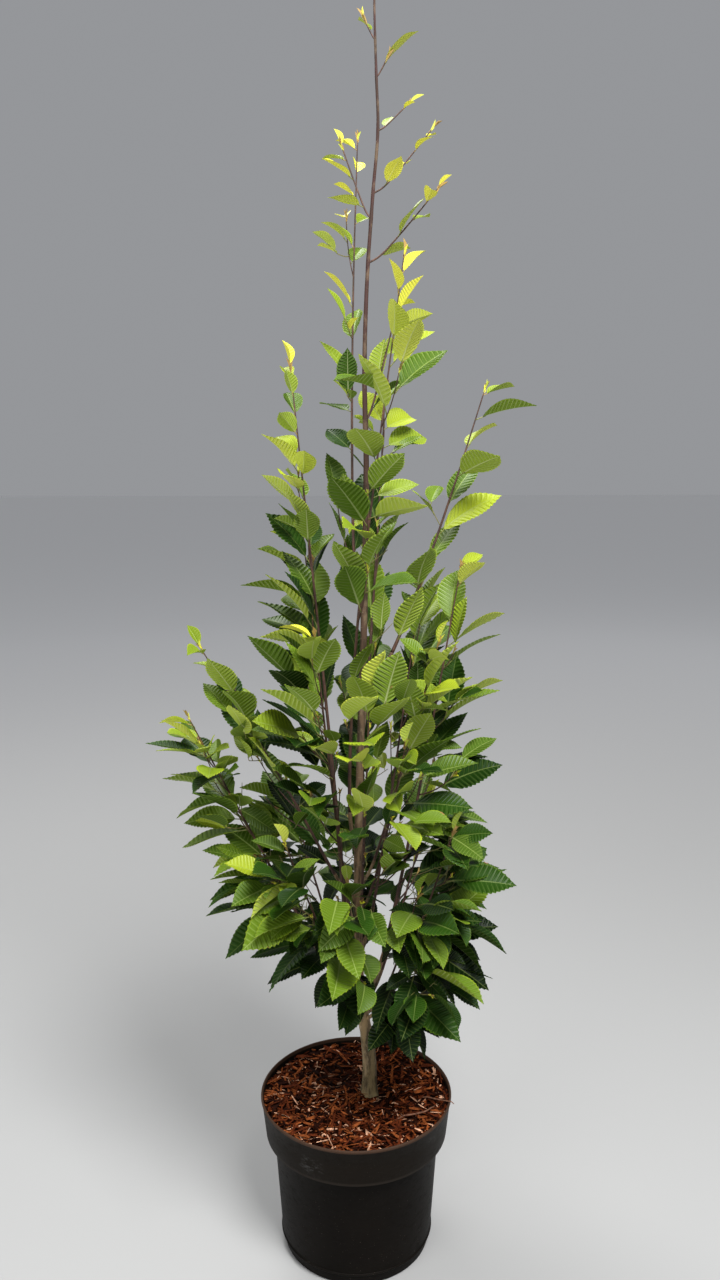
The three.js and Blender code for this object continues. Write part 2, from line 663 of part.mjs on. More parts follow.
// Root compost up to the foot of the mulch, and the layer of bark mulch on it
function filling(bottom, topZ) {
  const stepZ = COLLAR_FOOT_Z - COLLAR_STEP;
  const collarRadius = (z) =>
    mix(COLLAR_FOOT_RADIUS, COLLAR_TOP_RADIUS, (z - COLLAR_FOOT_Z) /
      (POT_HEIGHT - LIP_HEIGHT - COLLAR_FOOT_Z)) - POT_WALL;
  const wall = bottom < stepZ
    ? [[innerWallRadius(bottom) - 2 * GAP, bottom], [innerWallRadius(stepZ) - 2 * GAP, stepZ],
      [collarRadius(COLLAR_FOOT_Z) - 2 * GAP, COLLAR_FOOT_Z + GAP]]
    : [[collarRadius(bottom) - 2 * GAP, bottom]];
  return lathe([[0, bottom], ...wall, [collarRadius(topZ) - 2 * GAP, topZ], [0, topZ]]);
}

addMesh("pot", toGeometry(pot()), finish(0x1d1a17, 0.5));
const mulchFoot = MULCH_TOP - MULCH_DEPTH;
addMesh("compost", toGeometry(filling(FLOOR_THICKNESS + GAP, mulchFoot - GAP)), finish(0x2c211a, 0.95));
addMesh("bark_mulch", toGeometry(filling(mulchFoot, MULCH_TOP)), finish(0x7a3f22, 0.9));

// Trunk
const alongTrunk = (share, at) => trunkRadius(at.z);
addMesh(
  "trunk",
  toGeometry(limb(trunkCurve, 0, 1, TRUNK_STEPS, TRUNK_SIDES, alongTrunk)),
  bark(0x6b5f4c),
);

// Boughs, each cut clear of the trunk and of the boughs before it
let standing = swollen(trunkCurve, 0, 1, TRUNK_STEPS, TRUNK_SIDES, alongTrunk);
for (const shoot of shoots.filter((shoot) => shoot.bare > 0)) {
  const thickness = (share) => stemRadius(shoot, share);
  const whole = limb(shoot.curve, 0, shoot.bare, BOUGH_STEPS, BOUGH_SIDES, thickness);
  addMesh("bough_" + shoot.name, toGeometry(largestBody(whole.subtract(standing))), bark(0x5d4a38));
  standing = standing.add(swollen(shoot.curve, 0, shoot.bare, BOUGH_STEPS, BOUGH_SIDES, thickness));
}

// Masses of foliage
for (const shoot of shoots)
  addMesh("foliage_" + shoot.name, toGeometry(massSolid(shoot, standing)), finish(0x41702c, 0.6));

export default tree;
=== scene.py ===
import json
import math

import bmesh
import bpy
import numpy as np
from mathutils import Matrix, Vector

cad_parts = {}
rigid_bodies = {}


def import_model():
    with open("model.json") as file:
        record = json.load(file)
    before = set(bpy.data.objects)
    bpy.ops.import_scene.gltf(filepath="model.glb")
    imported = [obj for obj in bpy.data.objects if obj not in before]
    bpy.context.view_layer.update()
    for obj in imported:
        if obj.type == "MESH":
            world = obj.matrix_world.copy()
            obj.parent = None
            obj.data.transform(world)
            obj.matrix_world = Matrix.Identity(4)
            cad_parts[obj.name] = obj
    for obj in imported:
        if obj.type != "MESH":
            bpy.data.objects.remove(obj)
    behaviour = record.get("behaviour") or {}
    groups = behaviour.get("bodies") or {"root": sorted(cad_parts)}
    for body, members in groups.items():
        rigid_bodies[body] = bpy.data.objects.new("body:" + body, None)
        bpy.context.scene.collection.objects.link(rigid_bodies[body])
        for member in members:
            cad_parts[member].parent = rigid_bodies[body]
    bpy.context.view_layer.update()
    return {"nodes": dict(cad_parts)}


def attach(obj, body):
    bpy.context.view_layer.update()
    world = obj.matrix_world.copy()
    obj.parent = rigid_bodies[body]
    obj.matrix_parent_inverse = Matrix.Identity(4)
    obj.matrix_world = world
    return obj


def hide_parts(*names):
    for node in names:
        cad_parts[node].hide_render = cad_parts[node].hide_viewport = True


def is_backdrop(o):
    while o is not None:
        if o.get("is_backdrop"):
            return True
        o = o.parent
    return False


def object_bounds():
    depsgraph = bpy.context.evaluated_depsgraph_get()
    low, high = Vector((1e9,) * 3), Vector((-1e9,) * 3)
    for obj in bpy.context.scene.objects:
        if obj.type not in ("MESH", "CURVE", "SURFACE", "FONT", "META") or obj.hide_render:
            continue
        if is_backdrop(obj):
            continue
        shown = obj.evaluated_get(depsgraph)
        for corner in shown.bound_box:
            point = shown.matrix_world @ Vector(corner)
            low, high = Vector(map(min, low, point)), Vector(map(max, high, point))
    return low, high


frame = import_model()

# Pot
# A 26 cm container, injection moulded in black-brown polypropylene. A stepped collar under
# its thin rolled rim stiffens it, and it stands on a flat base with drain holes.
POT_HEIGHT = 215
RIM_RADIUS = 130
LIP_HEIGHT = 5
COLLAR_TOP_RADIUS = 128.6
COLLAR_FOOT_RADIUS = 123.5
COLLAR_FOOT_Z = 161
WALL_TOP_RADIUS = 112.5
WALL_FOOT_RADIUS = 103
LEDGE_Z = 18
BASE_RADIUS = 100
POT_WALL = 1.8
FLOOR_THICKNESS = 3
DRAIN_COUNT = 6
DRAIN_RADIUS = 6
DRAIN_RING = 78
POT_SIDES = 192
MM = 0.001


class Wire:
    """A socket in a node tree. Sums on it read as plain sums and add their Math nodes."""

    def __init__(self, tree, socket=None):
        self.tree = tree
        self.socket = socket

    def node(self, kind, inputs=None, output=0, stops=None, **settings):
        """Adds a node: its settings and colour stops first, then its sockets' values or wires."""
        made = self.tree.nodes.new(kind)
        for key, value in settings.items():
            setattr(made, key, value)
        if stops:
            ramp = made.color_ramp.elements
            while len(ramp) < len(stops):
                ramp.new(0.5)
            for element, (place, colour) in zip(ramp, stops):
                element.position = place
                element.color = (*colour, 1)
        for key, value in (inputs or {}).items():
            if isinstance(value, Wire):
                self.tree.links.new(value.socket, made.inputs[key])
            else:
                made.inputs[key].default_value = value
        return Wire(self.tree, made.outputs[output])

    def math(self, operation, a, b=0.0):
        return self.node("ShaderNodeMath", {0: a, 1: b}, operation=operation)

    def __add__(self, other):
        return self.math("ADD", self, other)

    def __sub__(self, other):
        return self.math("SUBTRACT", self, other)

    def __rsub__(self, other):
        return self.math("SUBTRACT", other, self)

    def __mul__(self, other):
        return self.math("MULTIPLY", self, other)

    __radd__ = __add__
    __rmul__ = __mul__

    def step(self, low, high, from_value=0.0, to_value=1.0):
        """A smooth rise from from_value at low to to_value at high."""
        return self.node(
            "ShaderNodeMapRange",
            {0: self, 1: low, 2: high, 3: from_value, 4: to_value},
            interpolation_type="SMOOTHSTEP",
        )

    def blend(self, a, b):
        """The colour a where this wire is 0 and b where it is 1."""
        ends = {6 + k: end if isinstance(end, Wire) else (*end, 1) for k, end in enumerate((a, b))}
        return self.node("ShaderNodeMix", {0: self, **ends}, output=2, data_type="RGBA")

    def distance(self, point):
        """How far this place is from a point."""
        return self.node("ShaderNodeVectorMath", {0: self, 1: point}, output=1, operation="DISTANCE")

    def height(self):
        """The height of this place."""
        return self.node("ShaderNodeSeparateXYZ", {0: self}, output=2)


def paint(name, colour, roughness, **sockets):
    """A material of one colour."""
    made = bpy.data.materials.new(name)
    made.use_nodes = True
    shader = made.node_tree.nodes["Principled BSDF"]
    shader.inputs["Base Color"].default_value = (*colour, 1)
    shader.inputs["Roughness"].default_value = roughness
    for key, value in sockets.items():
        shader.inputs[key.replace("_", " ")].default_value = value
    return made


def patterned(name, colour, roughness, **sockets):
    """A material, the places that its patterns start from, and what feeds them to its shader."""
    made = paint(name, colour, roughness, **sockets)
    tree = made.node_tree

    def feed(**wires):
        for key, wire in wires.items():
            tree.links.new(wire.socket, tree.nodes["Principled BSDF"].inputs[key.replace("_", " ")])

    return made, Wire(tree).node("ShaderNodeTexCoord", output="Object"), feed


def grain(place, scale, detail=4.0, roughness=0.55, stretch=(1, 1, 1)):
    """A soft noise from 0 to 1 over the place given, finer where scale is larger."""
    moved = place.node("ShaderNodeMapping", {"Vector": place, "Scale": stretch})
    return place.node(
        "ShaderNodeTexNoise",
        {"Vector": moved, "Scale": scale, "Detail": detail, "Roughness": roughness},
    )


def relief(height, strength, depth):
    """A bump of the given depth in metres."""
    return height.node("ShaderNodeBump", {"Height": height, "Strength": strength, "Distance": depth})


def shaped(name, points, faces, materials, kinds=None, smooth=True, crease=None):
    """A mesh object from points in millimetres and arrays of three or four sided faces."""
    mesh = bpy.data.meshes.new(name)
    loops = np.concatenate([f.ravel() for f in faces])
    totals = np.concatenate([np.full(len(f), f.shape[1]) for f in faces])
    mesh.vertices.add(len(points))
    mesh.vertices.foreach_set("co", (np.asarray(points) * MM).astype(np.float32).ravel())
    mesh.loops.add(len(loops))
    mesh.loops.foreach_set("vertex_index", loops.astype(np.int32))
    mesh.polygons.add(len(totals))
    starts = np.concatenate([[0], np.cumsum(totals)[:-1]])
    mesh.polygons.foreach_set("loop_start", starts.astype(np.int32))
    if kinds is not None:
        mesh.polygons.foreach_set("material_index", np.concatenate(kinds).astype(np.int32))
    mesh.polygons.foreach_set("use_smooth", np.full(len(totals), smooth))
    for material in materials:
        mesh.materials.append(material)
    mesh.update(calc_edges=True)
    mesh.validate()
    if crease:
        mesh.set_sharp_from_angle(angle=math.radians(crease))
    made = bpy.data.objects.new(name, mesh)
    bpy.context.scene.collection.objects.link(made)
    return made


def skin(rings, first, last):
    """Points and faces of a closed shape through rings of points, from one end point to the other."""
    count, sides = len(rings), len(rings[0])
    here = np.arange(sides)
    after = np.roll(here, -1)
    low = np.arange(count - 1)[:, None] * sides
    high = low + sides
    end = (count - 1) * sides
    quads = np.stack([low + here, low + after, high + after, high + here], 2).reshape(-1, 4)
    foot = np.stack([np.full(sides, count * sides), after, here], 1)
    head = np.stack([np.full(sides, count * sides + 1), end + here, end + after], 1)
    return np.concatenate([*rings, [first, last]]), [quads, foot, head]


def turned(name, profile, sides, material, crease):
    """A closed shape turned about Z from radius and height pairs that run from axis to axis."""
    turn = np.arange(sides) * 2 * np.pi / sides
    rings = [np.stack([r * np.cos(turn), r * np.sin(turn), np.full(sides, z)], 1) for r, z in profile[1:-1]]
    points, faces = skin(rings, (0, 0, profile[0][1]), (0, 0, profile[-1][1]))
    return shaped(name, points, faces, [material], crease=crease)


SCUFF_AT = (-0.058, -0.1115, 0.182)
SMALL_SCUFF_AT = (0.097, -0.080, 0.194)
COLLAR_FOOT = COLLAR_FOOT_Z * MM
LIP_FOOT = (POT_HEIGHT - LIP_HEIGHT) * MM
plastic, place, feed = patterned("pot_plastic", (0.0052, 0.0040, 0.0029), 0.5, Specular_IOR_Level=0.055)
height = place.height()
cloud = grain(place, 9)
speckle = grain(place, 900, 2)
scuff = grain(place, 90, 6, 0.75, (1, 1, 2)).step(0.48, 0.66)
rubbed = place.distance(SCUFF_AT).step(0.024, 0.004) + place.distance(SMALL_SCUFF_AT).step(0.02, 0.003) * 0.8
scratch = grain(place, 210, 3, 0.6, (0.35, 0.35, 4)).step(0.62, 0.74)
specks = grain(place, 700, 1, 0.4).step(0.765, 0.80) * height.step(0.175, 0.03, 0.3, 1.0)
on_collar = height.step(COLLAR_FOOT - 0.0005, COLLAR_FOOT + 0.001)
# Painted highlight: a lighter band on the collar just above its foot edge, where the step catches the light
collar_foot_highlight = on_collar * height.step(COLLAR_FOOT + 0.0055, COLLAR_FOOT + 0.0025)
on_rim = height.step(LIP_FOOT - 0.0005, LIP_FOOT + 0.0015)
tone = cloud.step(0.3, 0.75).blend((0.0042, 0.0033, 0.0025), (0.0068, 0.0053, 0.0040))
tone = on_collar.blend(tone, (0.0092, 0.0070, 0.0050))
tone = (collar_foot_highlight * 0.7).blend(tone, (0.024, 0.019, 0.015))
tone = on_rim.blend(tone, (0.055, 0.031, 0.020))
tone = (scuff * rubbed * 0.42 + scratch * 0.045).blend(tone, (0.11, 0.11, 0.107))
tone = (specks * 0.6).blend(tone, (0.20, 0.17, 0.13))
feed(
    Base_Color=tone,
    Roughness=0.44 + cloud * 0.14 + scuff * 0.12,
    Normal=relief(speckle * 0.4 + cloud, 0.25, 0.0004),
)
pot = turned(
    "pot_shell",
    [
        (0, 0), (60, 0), (BASE_RADIUS - 2.5, 0), (BASE_RADIUS - 1.2, 0.3), (BASE_RADIUS - 0.3, 1.2),
        (BASE_RADIUS, 2.4), (WALL_FOOT_RADIUS - 1, LEDGE_Z - 3.2), (WALL_FOOT_RADIUS + 0.9, LEDGE_Z - 2.4),
        (WALL_FOOT_RADIUS + 1.5, LEDGE_Z - 1.5), (WALL_FOOT_RADIUS + 1.2, LEDGE_Z - 0.5),
        (WALL_FOOT_RADIUS + 0.2, LEDGE_Z + 0.4), (WALL_FOOT_RADIUS + 0.35, LEDGE_Z + 3),
        (107.9, 90), (WALL_TOP_RADIUS - 0.3, COLLAR_FOOT_Z - 4), (WALL_TOP_RADIUS + 0.3, COLLAR_FOOT_Z - 2),
        (WALL_TOP_RADIUS + 1.8, COLLAR_FOOT_Z - 1.2), (COLLAR_FOOT_RADIUS - 1.2, COLLAR_FOOT_Z - 0.4),
        (COLLAR_FOOT_RADIUS - 0.2, COLLAR_FOOT_Z + 0.3), (COLLAR_FOOT_RADIUS + 0.1, COLLAR_FOOT_Z + 1.6),
        (126.1, 186), (COLLAR_TOP_RADIUS, POT_HEIGHT - LIP_HEIGHT),
        (RIM_RADIUS - 0.6, POT_HEIGHT - 4), (RIM_RADIUS, POT_HEIGHT - 2.8),
        (RIM_RADIUS - 0.1, POT_HEIGHT - 1.2), (RIM_RADIUS - 0.7, POT_HEIGHT - 0.3),
        (RIM_RADIUS - 1.5, POT_HEIGHT), (RIM_RADIUS - 2.3, POT_HEIGHT - 0.3),
        (RIM_RADIUS - 2.9, POT_HEIGHT - 1.3), (COLLAR_TOP_RADIUS - POT_WALL, POT_HEIGHT - LIP_HEIGHT),
        (COLLAR_FOOT_RADIUS - POT_WALL, COLLAR_FOOT_Z + 1.5), (WALL_TOP_RADIUS - POT_WALL, COLLAR_FOOT_Z - 2),
        (WALL_FOOT_RADIUS - POT_WALL - 1, FLOOR_THICKNESS + 1),
        (WALL_FOOT_RADIUS - POT_WALL - 3, FLOOR_THICKNESS),
        (60, FLOOR_THICKNESS), (0, FLOOR_THICKNESS),
    ],
    POT_SIDES,
    plastic,
    crease=40,
)
drill = bpy.data.objects.new("drill", bpy.data.meshes.new("drill"))
bpy.context.scene.collection.objects.link(drill)
bits = bmesh.new()
for k in range(DRAIN_COUNT):
    bit = bmesh.ops.create_cone(
        bits, cap_ends=True, segments=24, radius1=DRAIN_RADIUS * MM, radius2=DRAIN_RADIUS * MM,
        depth=4 * FLOOR_THICKNESS * MM,
    )
    out = 2 * math.pi * k / DRAIN_COUNT
    ring = Vector((math.cos(out), math.sin(out), 0)) * DRAIN_RING * MM
    bmesh.ops.translate(bits, verts=bit["verts"], vec=ring)
bits.to_mesh(drill.data)
bits.free()
holes = pot.modifiers.new("drain_holes", "BOOLEAN")
holes.object = drill
holes.solver = "EXACT"


def settle(made):
    """Applies an object's modifiers to its mesh and takes them off."""
    bpy.context.view_layer.update()
    done = bpy.data.meshes.new_from_object(made.evaluated_get(bpy.context.evaluated_depsgraph_get()))
    made.modifiers.clear()
    made.data = done


settle(pot)
bpy.data.objects.remove(drill)
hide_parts("pot")
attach(pot, "root")

# Compost
# Damp peat and fine roots fill the pot up to the bark. It is one solid body that the pot and
# the bark hide.
damp, place, feed = patterned("damp_compost", (0.02, 0.013, 0.009), 0.95)
crumb = grain(place, 160, 6)
feed(
    Base_Color=crumb.step(0.3, 0.7).blend((0.009, 0.006, 0.004), (0.036, 0.022, 0.014)),
    Normal=relief(crumb, 0.6, 0.002),
)
frame["nodes"]["compost"].data.materials.clear()
frame["nodes"]["compost"].data.materials.append(damp)

# Bark mulch
# A loose layer of chipped pine bark, 5 to 35 mm long, in red-brown, orange, tan and nearly
# black pieces. It lies on the compost about a centimetre below the rim, with two hollows.
MULCH_TOP = 203
MULCH_FOOT = 179
MULCH_RADIUS = 125
BED_SIDES = 96
BED_RINGS = 32

# X, y, two radii and the depth of each hollow
HOLLOWS = ((-24, 55, 30, 36, 11), (-44, -14, 9, 11, 6))
# Where painted shade on the chips is deepest, in the larger hollow left of the trunk, in metres
HOLLOW_SHADE_AT = (-0.024, 0.055, 0.196)
rng = np.random.default_rng(11)


def mulch_height(x, y):
    """The level of the mulch, with its hollows, low swells and raised edge."""
    hollow = sum(
        depth * np.exp(-(((x - at_x) / wide) ** 2 + ((y - at_y) / deep) ** 2))
        for at_x, at_y, wide, deep, depth in HOLLOWS
    )
    swell = 1.6 * np.sin(x / 17 + 1) * np.cos(y / 21) + 1.1 * np.sin(x / 7.5 + y / 9)
    edge = 5.5 * (np.hypot(x, y) / MULCH_RADIUS) ** 5
    return MULCH_TOP - 2.6 + edge + swell - hollow


# The bed shows only in the gaps between the chips. Its near-black crumbs are partly the damp bark's own
# colour and partly painted shade in those gaps
crumbs_and_gap_shade, place, feed = patterned("mulch_bed", (0.03, 0.011, 0.006), 0.95, Specular_IOR_Level=0.03)
crumb = grain(place, 190, 6, 0.6)
feed(
    Base_Color=crumb.step(0.35, 0.75).blend((0.0016, 0.0005, 0.0002), (0.030, 0.0065, 0.0018)),
    Normal=relief(crumb, 0.8, 0.003),
)
turn = np.arange(BED_SIDES) * 2 * np.pi / BED_SIDES
bed_points = [[0, 0, mulch_height(0, 0)]]
for share in np.linspace(0, 1, BED_RINGS + 1)[1:]:
    x, y = MULCH_RADIUS * share * np.cos(turn), MULCH_RADIUS * share * np.sin(turn)
    z = mulch_height(x, y) + rng.uniform(-1.4, 1.4, BED_SIDES)
    bed_points.extend(np.stack([x, y, np.minimum(z, POT_HEIGHT - 6)], 1))
bed_points.extend(np.stack([x * 0.985, y * 0.985, np.full(BED_SIDES, MULCH_FOOT)], 1))
bed_points.append([0, 0, MULCH_FOOT])
here = 1 + np.arange(BED_SIDES)
after = np.roll(here, -1)
inner = np.arange(BED_RINGS)[:, None] * BED_SIDES
outer = inner + BED_SIDES
bed_sides = np.stack([inner + here, outer + here, outer + after, inner + after], 2).reshape(-1, 4)
bed_top = np.stack([np.zeros(BED_SIDES, int), here, after], 1)
bed_foot = np.stack([np.full(BED_SIDES, len(bed_points) - 1), outer[-1] + after, outer[-1] + here], 1)
bed = shaped("mulch_bed", np.array(bed_points), [bed_top, bed_sides, bed_foot], [crumbs_and_gap_shade])
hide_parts("bark_mulch")
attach(bed, "root")


def shard(length, width, thick):
    """One chip: the hull of random points in a long flat box, slimmer at its ends."""
    made = bmesh.new()
    for k in range(SHARD_CORNERS):
        along = math.cos(math.pi * k / (SHARD_CORNERS - 1)) * rng.uniform(0.85, 1)
        slim = 1 - 0.5 * along * along
        across = (1 if k % 2 else -1) * rng.uniform(0.4, 1)
        corner = Vector((along * length, across * width * slim, rng.uniform(-1, 1) * thick * slim))
        made.verts.new(corner * MM / 2)
    hull = bmesh.ops.convex_hull(made, input=made.verts)
    unused = set(hull["geom_interior"] + hull["geom_unused"])
    bmesh.ops.delete(made, geom=[v for v in unused if isinstance(v, bmesh.types.BMVert)], context="VERTS")
    mesh = bpy.data.meshes.new("shard")
    made.to_mesh(mesh)
    made.free()
    return bpy.data.objects.new("shard", mesh)


SHARD_CORNERS = 12

# Length and width of each kind of chip
SHARDS = ((9, 5), (12, 3), (13, 6.5), (16, 3.4), (18, 5), (20, 2.4), (24, 4), (29, 2.6), (34, 3.2))
shards = bpy.data.collections.new("shards")
for length, width in SHARDS:
    shards.objects.link(shard(length, width, rng.uniform(1.2, 2.4)))


def socket_named(tree, name):
    """The identifier of a tree's named input."""
    return next(s.identifier for s in tree.interface.items_tree if s.name == name and s.in_out == "INPUT")


scatter = bpy.data.node_groups.new("scatter_shards", "GeometryNodeTree")
scatter.interface.new_socket("Geometry", in_out="INPUT", socket_type="NodeSocketGeometry")
inputs = dict(Density="Float", Seed="Int", Smallest="Float", Largest="Float", Finish="Material")
for name, kind in inputs.items():
    scatter.interface.new_socket(name, in_out="INPUT", socket_type="NodeSocket" + kind)
scatter.interface.new_socket("Geometry", in_out="OUTPUT", socket_type="NodeSocketGeometry")
grow_from = scatter.nodes.new("NodeGroupInput")
given = {s.name: Wire(scatter, s) for s in grow_from.outputs if s.name}
base = Wire(scatter)
facing = base.node("ShaderNodeSeparateXYZ", {0: base.node("GeometryNodeInputNormal")}, output=2)
upward = base.node("FunctionNodeCompare", {0: facing, 1: 0.6}, data_type="FLOAT", operation="GREATER_THAN")
spots = base.node(
    "GeometryNodeDistributePointsOnFaces",
    {"Mesh": given["Geometry"], "Selection": upward, "Density": given["Density"], "Seed": given["Seed"]},
)
lean = base.node(
    "FunctionNodeRandomValue",
    {"Min": (-0.6, -0.32, 0.0), "Max": (0.6, 0.32, 6.283), "Seed": given["Seed"]},
    data_type="FLOAT_VECTOR",
)
size = base.node(
    "FunctionNodeRandomValue",
    {2: given["Smallest"], 3: given["Largest"], "Seed": given["Seed"] + 7},
    output=1,
    data_type="FLOAT",
)
lift = base.node(
    "FunctionNodeRandomValue", {"Min": (0, 0, -0.0008), "Max": (0, 0, 0.0035)}, data_type="FLOAT_VECTOR"
)
raised = base.node("GeometryNodeSetPosition", {"Geometry": spots, "Offset": lift})
kinds = base.node(
    "GeometryNodeCollectionInfo", {"Collection": shards, "Separate Children": True, "Reset Children": True}
)
laid = base.node(
    "GeometryNodeInstanceOnPoints",
    {"Points": raised, "Instance": kinds, "Pick Instance": True, "Rotation": lean, "Scale": size},
)
loose = base.node("GeometryNodeRealizeInstances", {"Geometry": laid})
done = base.node("GeometryNodeSetMaterial", {"Geometry": loose, "Material": given["Finish"]})
grow_to = scatter.nodes.new("NodeGroupOutput")
scatter.links.new(done.socket, grow_to.inputs[0])


class Heap:
    """Points and faces of many like things, gathered to be joined into one mesh."""

    def __init__(self):
        self.points, self.count, self.triangles = [], 0, 0
        self.faces, self.kinds = {3: [], 4: []}, {3: [], 4: []}

    def add(self, points, faces, kinds):
        """Adds a thing: arrays of faces, and one kind for each array or for each of its faces."""
        self.points.append(points)
        for some, kind in zip(faces, kinds):
            corners = some.shape[1]
            self.faces[corners].append(some + self.count)
            self.kinds[corners].append(np.broadcast_to(kind, len(some)))
            self.triangles += len(some) * (corners - 2)
        self.count += len(points)

    def made(self, name, materials, **how):
        sizes = [n for n in (3, 4) if self.faces[n]]
        faces = [np.concatenate(self.faces[n]) for n in sizes]
        kinds = [np.concatenate(self.kinds[n]) for n in sizes]
        return shaped(name, np.concatenate(self.points), faces, materials, kinds, **how)


def tube(heap, middles, radii, sides, kind=0, ripple=None):
    """A round limb with closed ends. ripple adds to its radius, one row for each ring."""
    middles = np.asarray(middles, float)
    tangent = np.gradient(middles, axis=0)
    tangent /= np.linalg.norm(tangent, axis=1)[:, None]
    first = np.cross(tangent[0], [0.3, 1, 0.1])
    turn = np.arange(sides) * 2 * np.pi / sides
    rings = []
    for k, (middle, along) in enumerate(zip(middles, tangent)):
        first = first - along * (first @ along)
        first /= np.linalg.norm(first)
        second = np.cross(along, first)
        radius = radii[k] + (ripple[k] if ripple is not None else 0)
        around = np.outer(np.cos(turn), first) + np.outer(np.sin(turn), second)
        rings.append(middle + around * np.broadcast_to(radius, sides)[:, None])
    foot = middles[0] - tangent[0] * radii[0] * 0.2
    head = middles[-1] + tangent[-1] * radii[-1] * 0.8
    heap.add(*skin(rings, foot, head), [kind] * 3)


# Colour, chips to a square metre, seed, and the smallest and largest size
CHIPS = {
    "chips_dark": ((0.016, 0.0035, 0.0012), 11000, 3, 0.7, 1.25),
    "chips_red": ((0.095, 0.019, 0.0050), 16500, 5, 0.5, 1.3),
    "chips_orange": ((0.25, 0.066, 0.017), 11000, 8, 0.45, 1.3),
    "chips_tan": ((0.62, 0.34, 0.21), 5200, 13, 0.28, 1.0),
}

# The pot's inside radius at the foot of the mulch, in metres, and how it widens upward
WALL_FOOT = 0.1232
WALL_SLOPE = 0.11
for name, (colour, density, seed, smallest, largest) in CHIPS.items():
    chip, place, feed = patterned(name, colour, 0.75, Specular_IOR_Level=0.06)
    fibre = grain(place, 420, 5, 0.65)
    patch = grain(place, 70, 3)
    dark, light, hollow_shade = (tuple(min(1.0, c * share) for c in colour) for share in (0.45, 1.45, 0.22))
    tone = (fibre * 0.6 + patch * 0.4).step(0.36, 0.66).blend(dark, light)
    feed(
        # Chips near the hollow darken towards a fifth of their colour: painted shade in the hollow
        Base_Color=(place.distance(HOLLOW_SHADE_AT).step(0.052, 0.018) * 0.85).blend(tone, hollow_shade),
        Roughness=0.62 + fibre * 0.25,
        Normal=relief(fibre, 0.7, 0.0008),
    )
    top = bpy.data.objects.new(name, bed.data)
    bpy.context.scene.collection.objects.link(top)
    spread = top.modifiers.new("scatter", "NODES")
    spread.node_group = scatter
    settings = dict(Density=float(density), Seed=seed, Smallest=smallest, Largest=largest, Finish=chip)
    for key, value in settings.items():
        spread[socket_named(scatter, key)] = value
    settle(top)
    places = np.empty(len(top.data.vertices) * 3, np.float32)
    top.data.vertices.foreach_get("co", places)
    places = places.reshape(-1, 3)
    wall = WALL_FOOT + (places[:, 2] - MULCH_FOOT * MM) * WALL_SLOPE
    reach = np.maximum(np.hypot(places[:, 0], places[:, 1]), MM)
    places[:, :2] *= np.minimum(1, wall / reach)[:, None]
    top.data.vertices.foreach_set("co", places.ravel())
    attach(top, "root")
for made in list(shards.objects):
    bpy.data.objects.remove(made)
bpy.data.collections.remove(shards)

STALK = np.array([
    (88, -2, 203), (97, -9, 208.5), (110, -19, 211.5), (122, -29, 216), (127.5, -32, 217), (131, -34, 215),
])
OTHER_STALK = STALK - (36, 52, -2) + np.outer([0, 1, 2, 3, 4, 5], (2, 9, 0))
stalks = Heap()
tube(stalks, STALK, (0.9, 1.0, 0.9, 0.8, 0.7, 0.5), 7)
tube(stalks, OTHER_STALK, (0.8, 1.1, 1.2, 1.1, 0.9, 0.5), 7)
dry, place, feed = patterned("dry_stalk", (0.16, 0.07, 0.04), 0.8, Specular_IOR_Level=0.2)
feed(Base_Color=grain(place, 300, 3).step(0.3, 0.7).blend((0.09, 0.035, 0.02), (0.25, 0.12, 0.07)))
straw = stalks.made("mulch_stalks", [dry])
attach(straw, "root")

# Trunk and boughs
# One trunk runs from the mulch to the leader's tip, and steep boughs leave it low down. The
# bark is thin and smooth, grey-olive at the foot and wine-brown on the young wood above.
TRUNK_LINE = np.array([
    (19, 8, 203.3), (18, 8, 258), (13, 8, 300), (5, 8, 370), (3, 8, 480), (5, 7, 628), (9, 6, 760),
    (13, 4, 910), (15, 2, 1060), (13, 0, 1164), (16, -1, 1270), (23, -2, 1370), (29, -3, 1442),
    (27, -3, 1507), (25, -4, 1585), (28, -4, 1650),
], float)
TRUNK_TOP_Z = 1650
TRUNK_TAPER = 5.2
TRUNK_TAPER_POWER = 0.85
TRUNK_TIP_RADIUS = 1.1
FORK_Z = 330
FORK_LENGTH = 60
FORK_SWELL = 3.2
FLARE = 3.4
FLARE_HEIGHT = 14
TREE_TOP = np.array([29.0, -5, 1682])
STATIONS = (0.12, 0.4, 0.7, 1.0)
STEM_TIP_RADIUS = 0.75
STEM_TAPER_POWER = 0.8
UP = np.array([0.0, 0, 1])

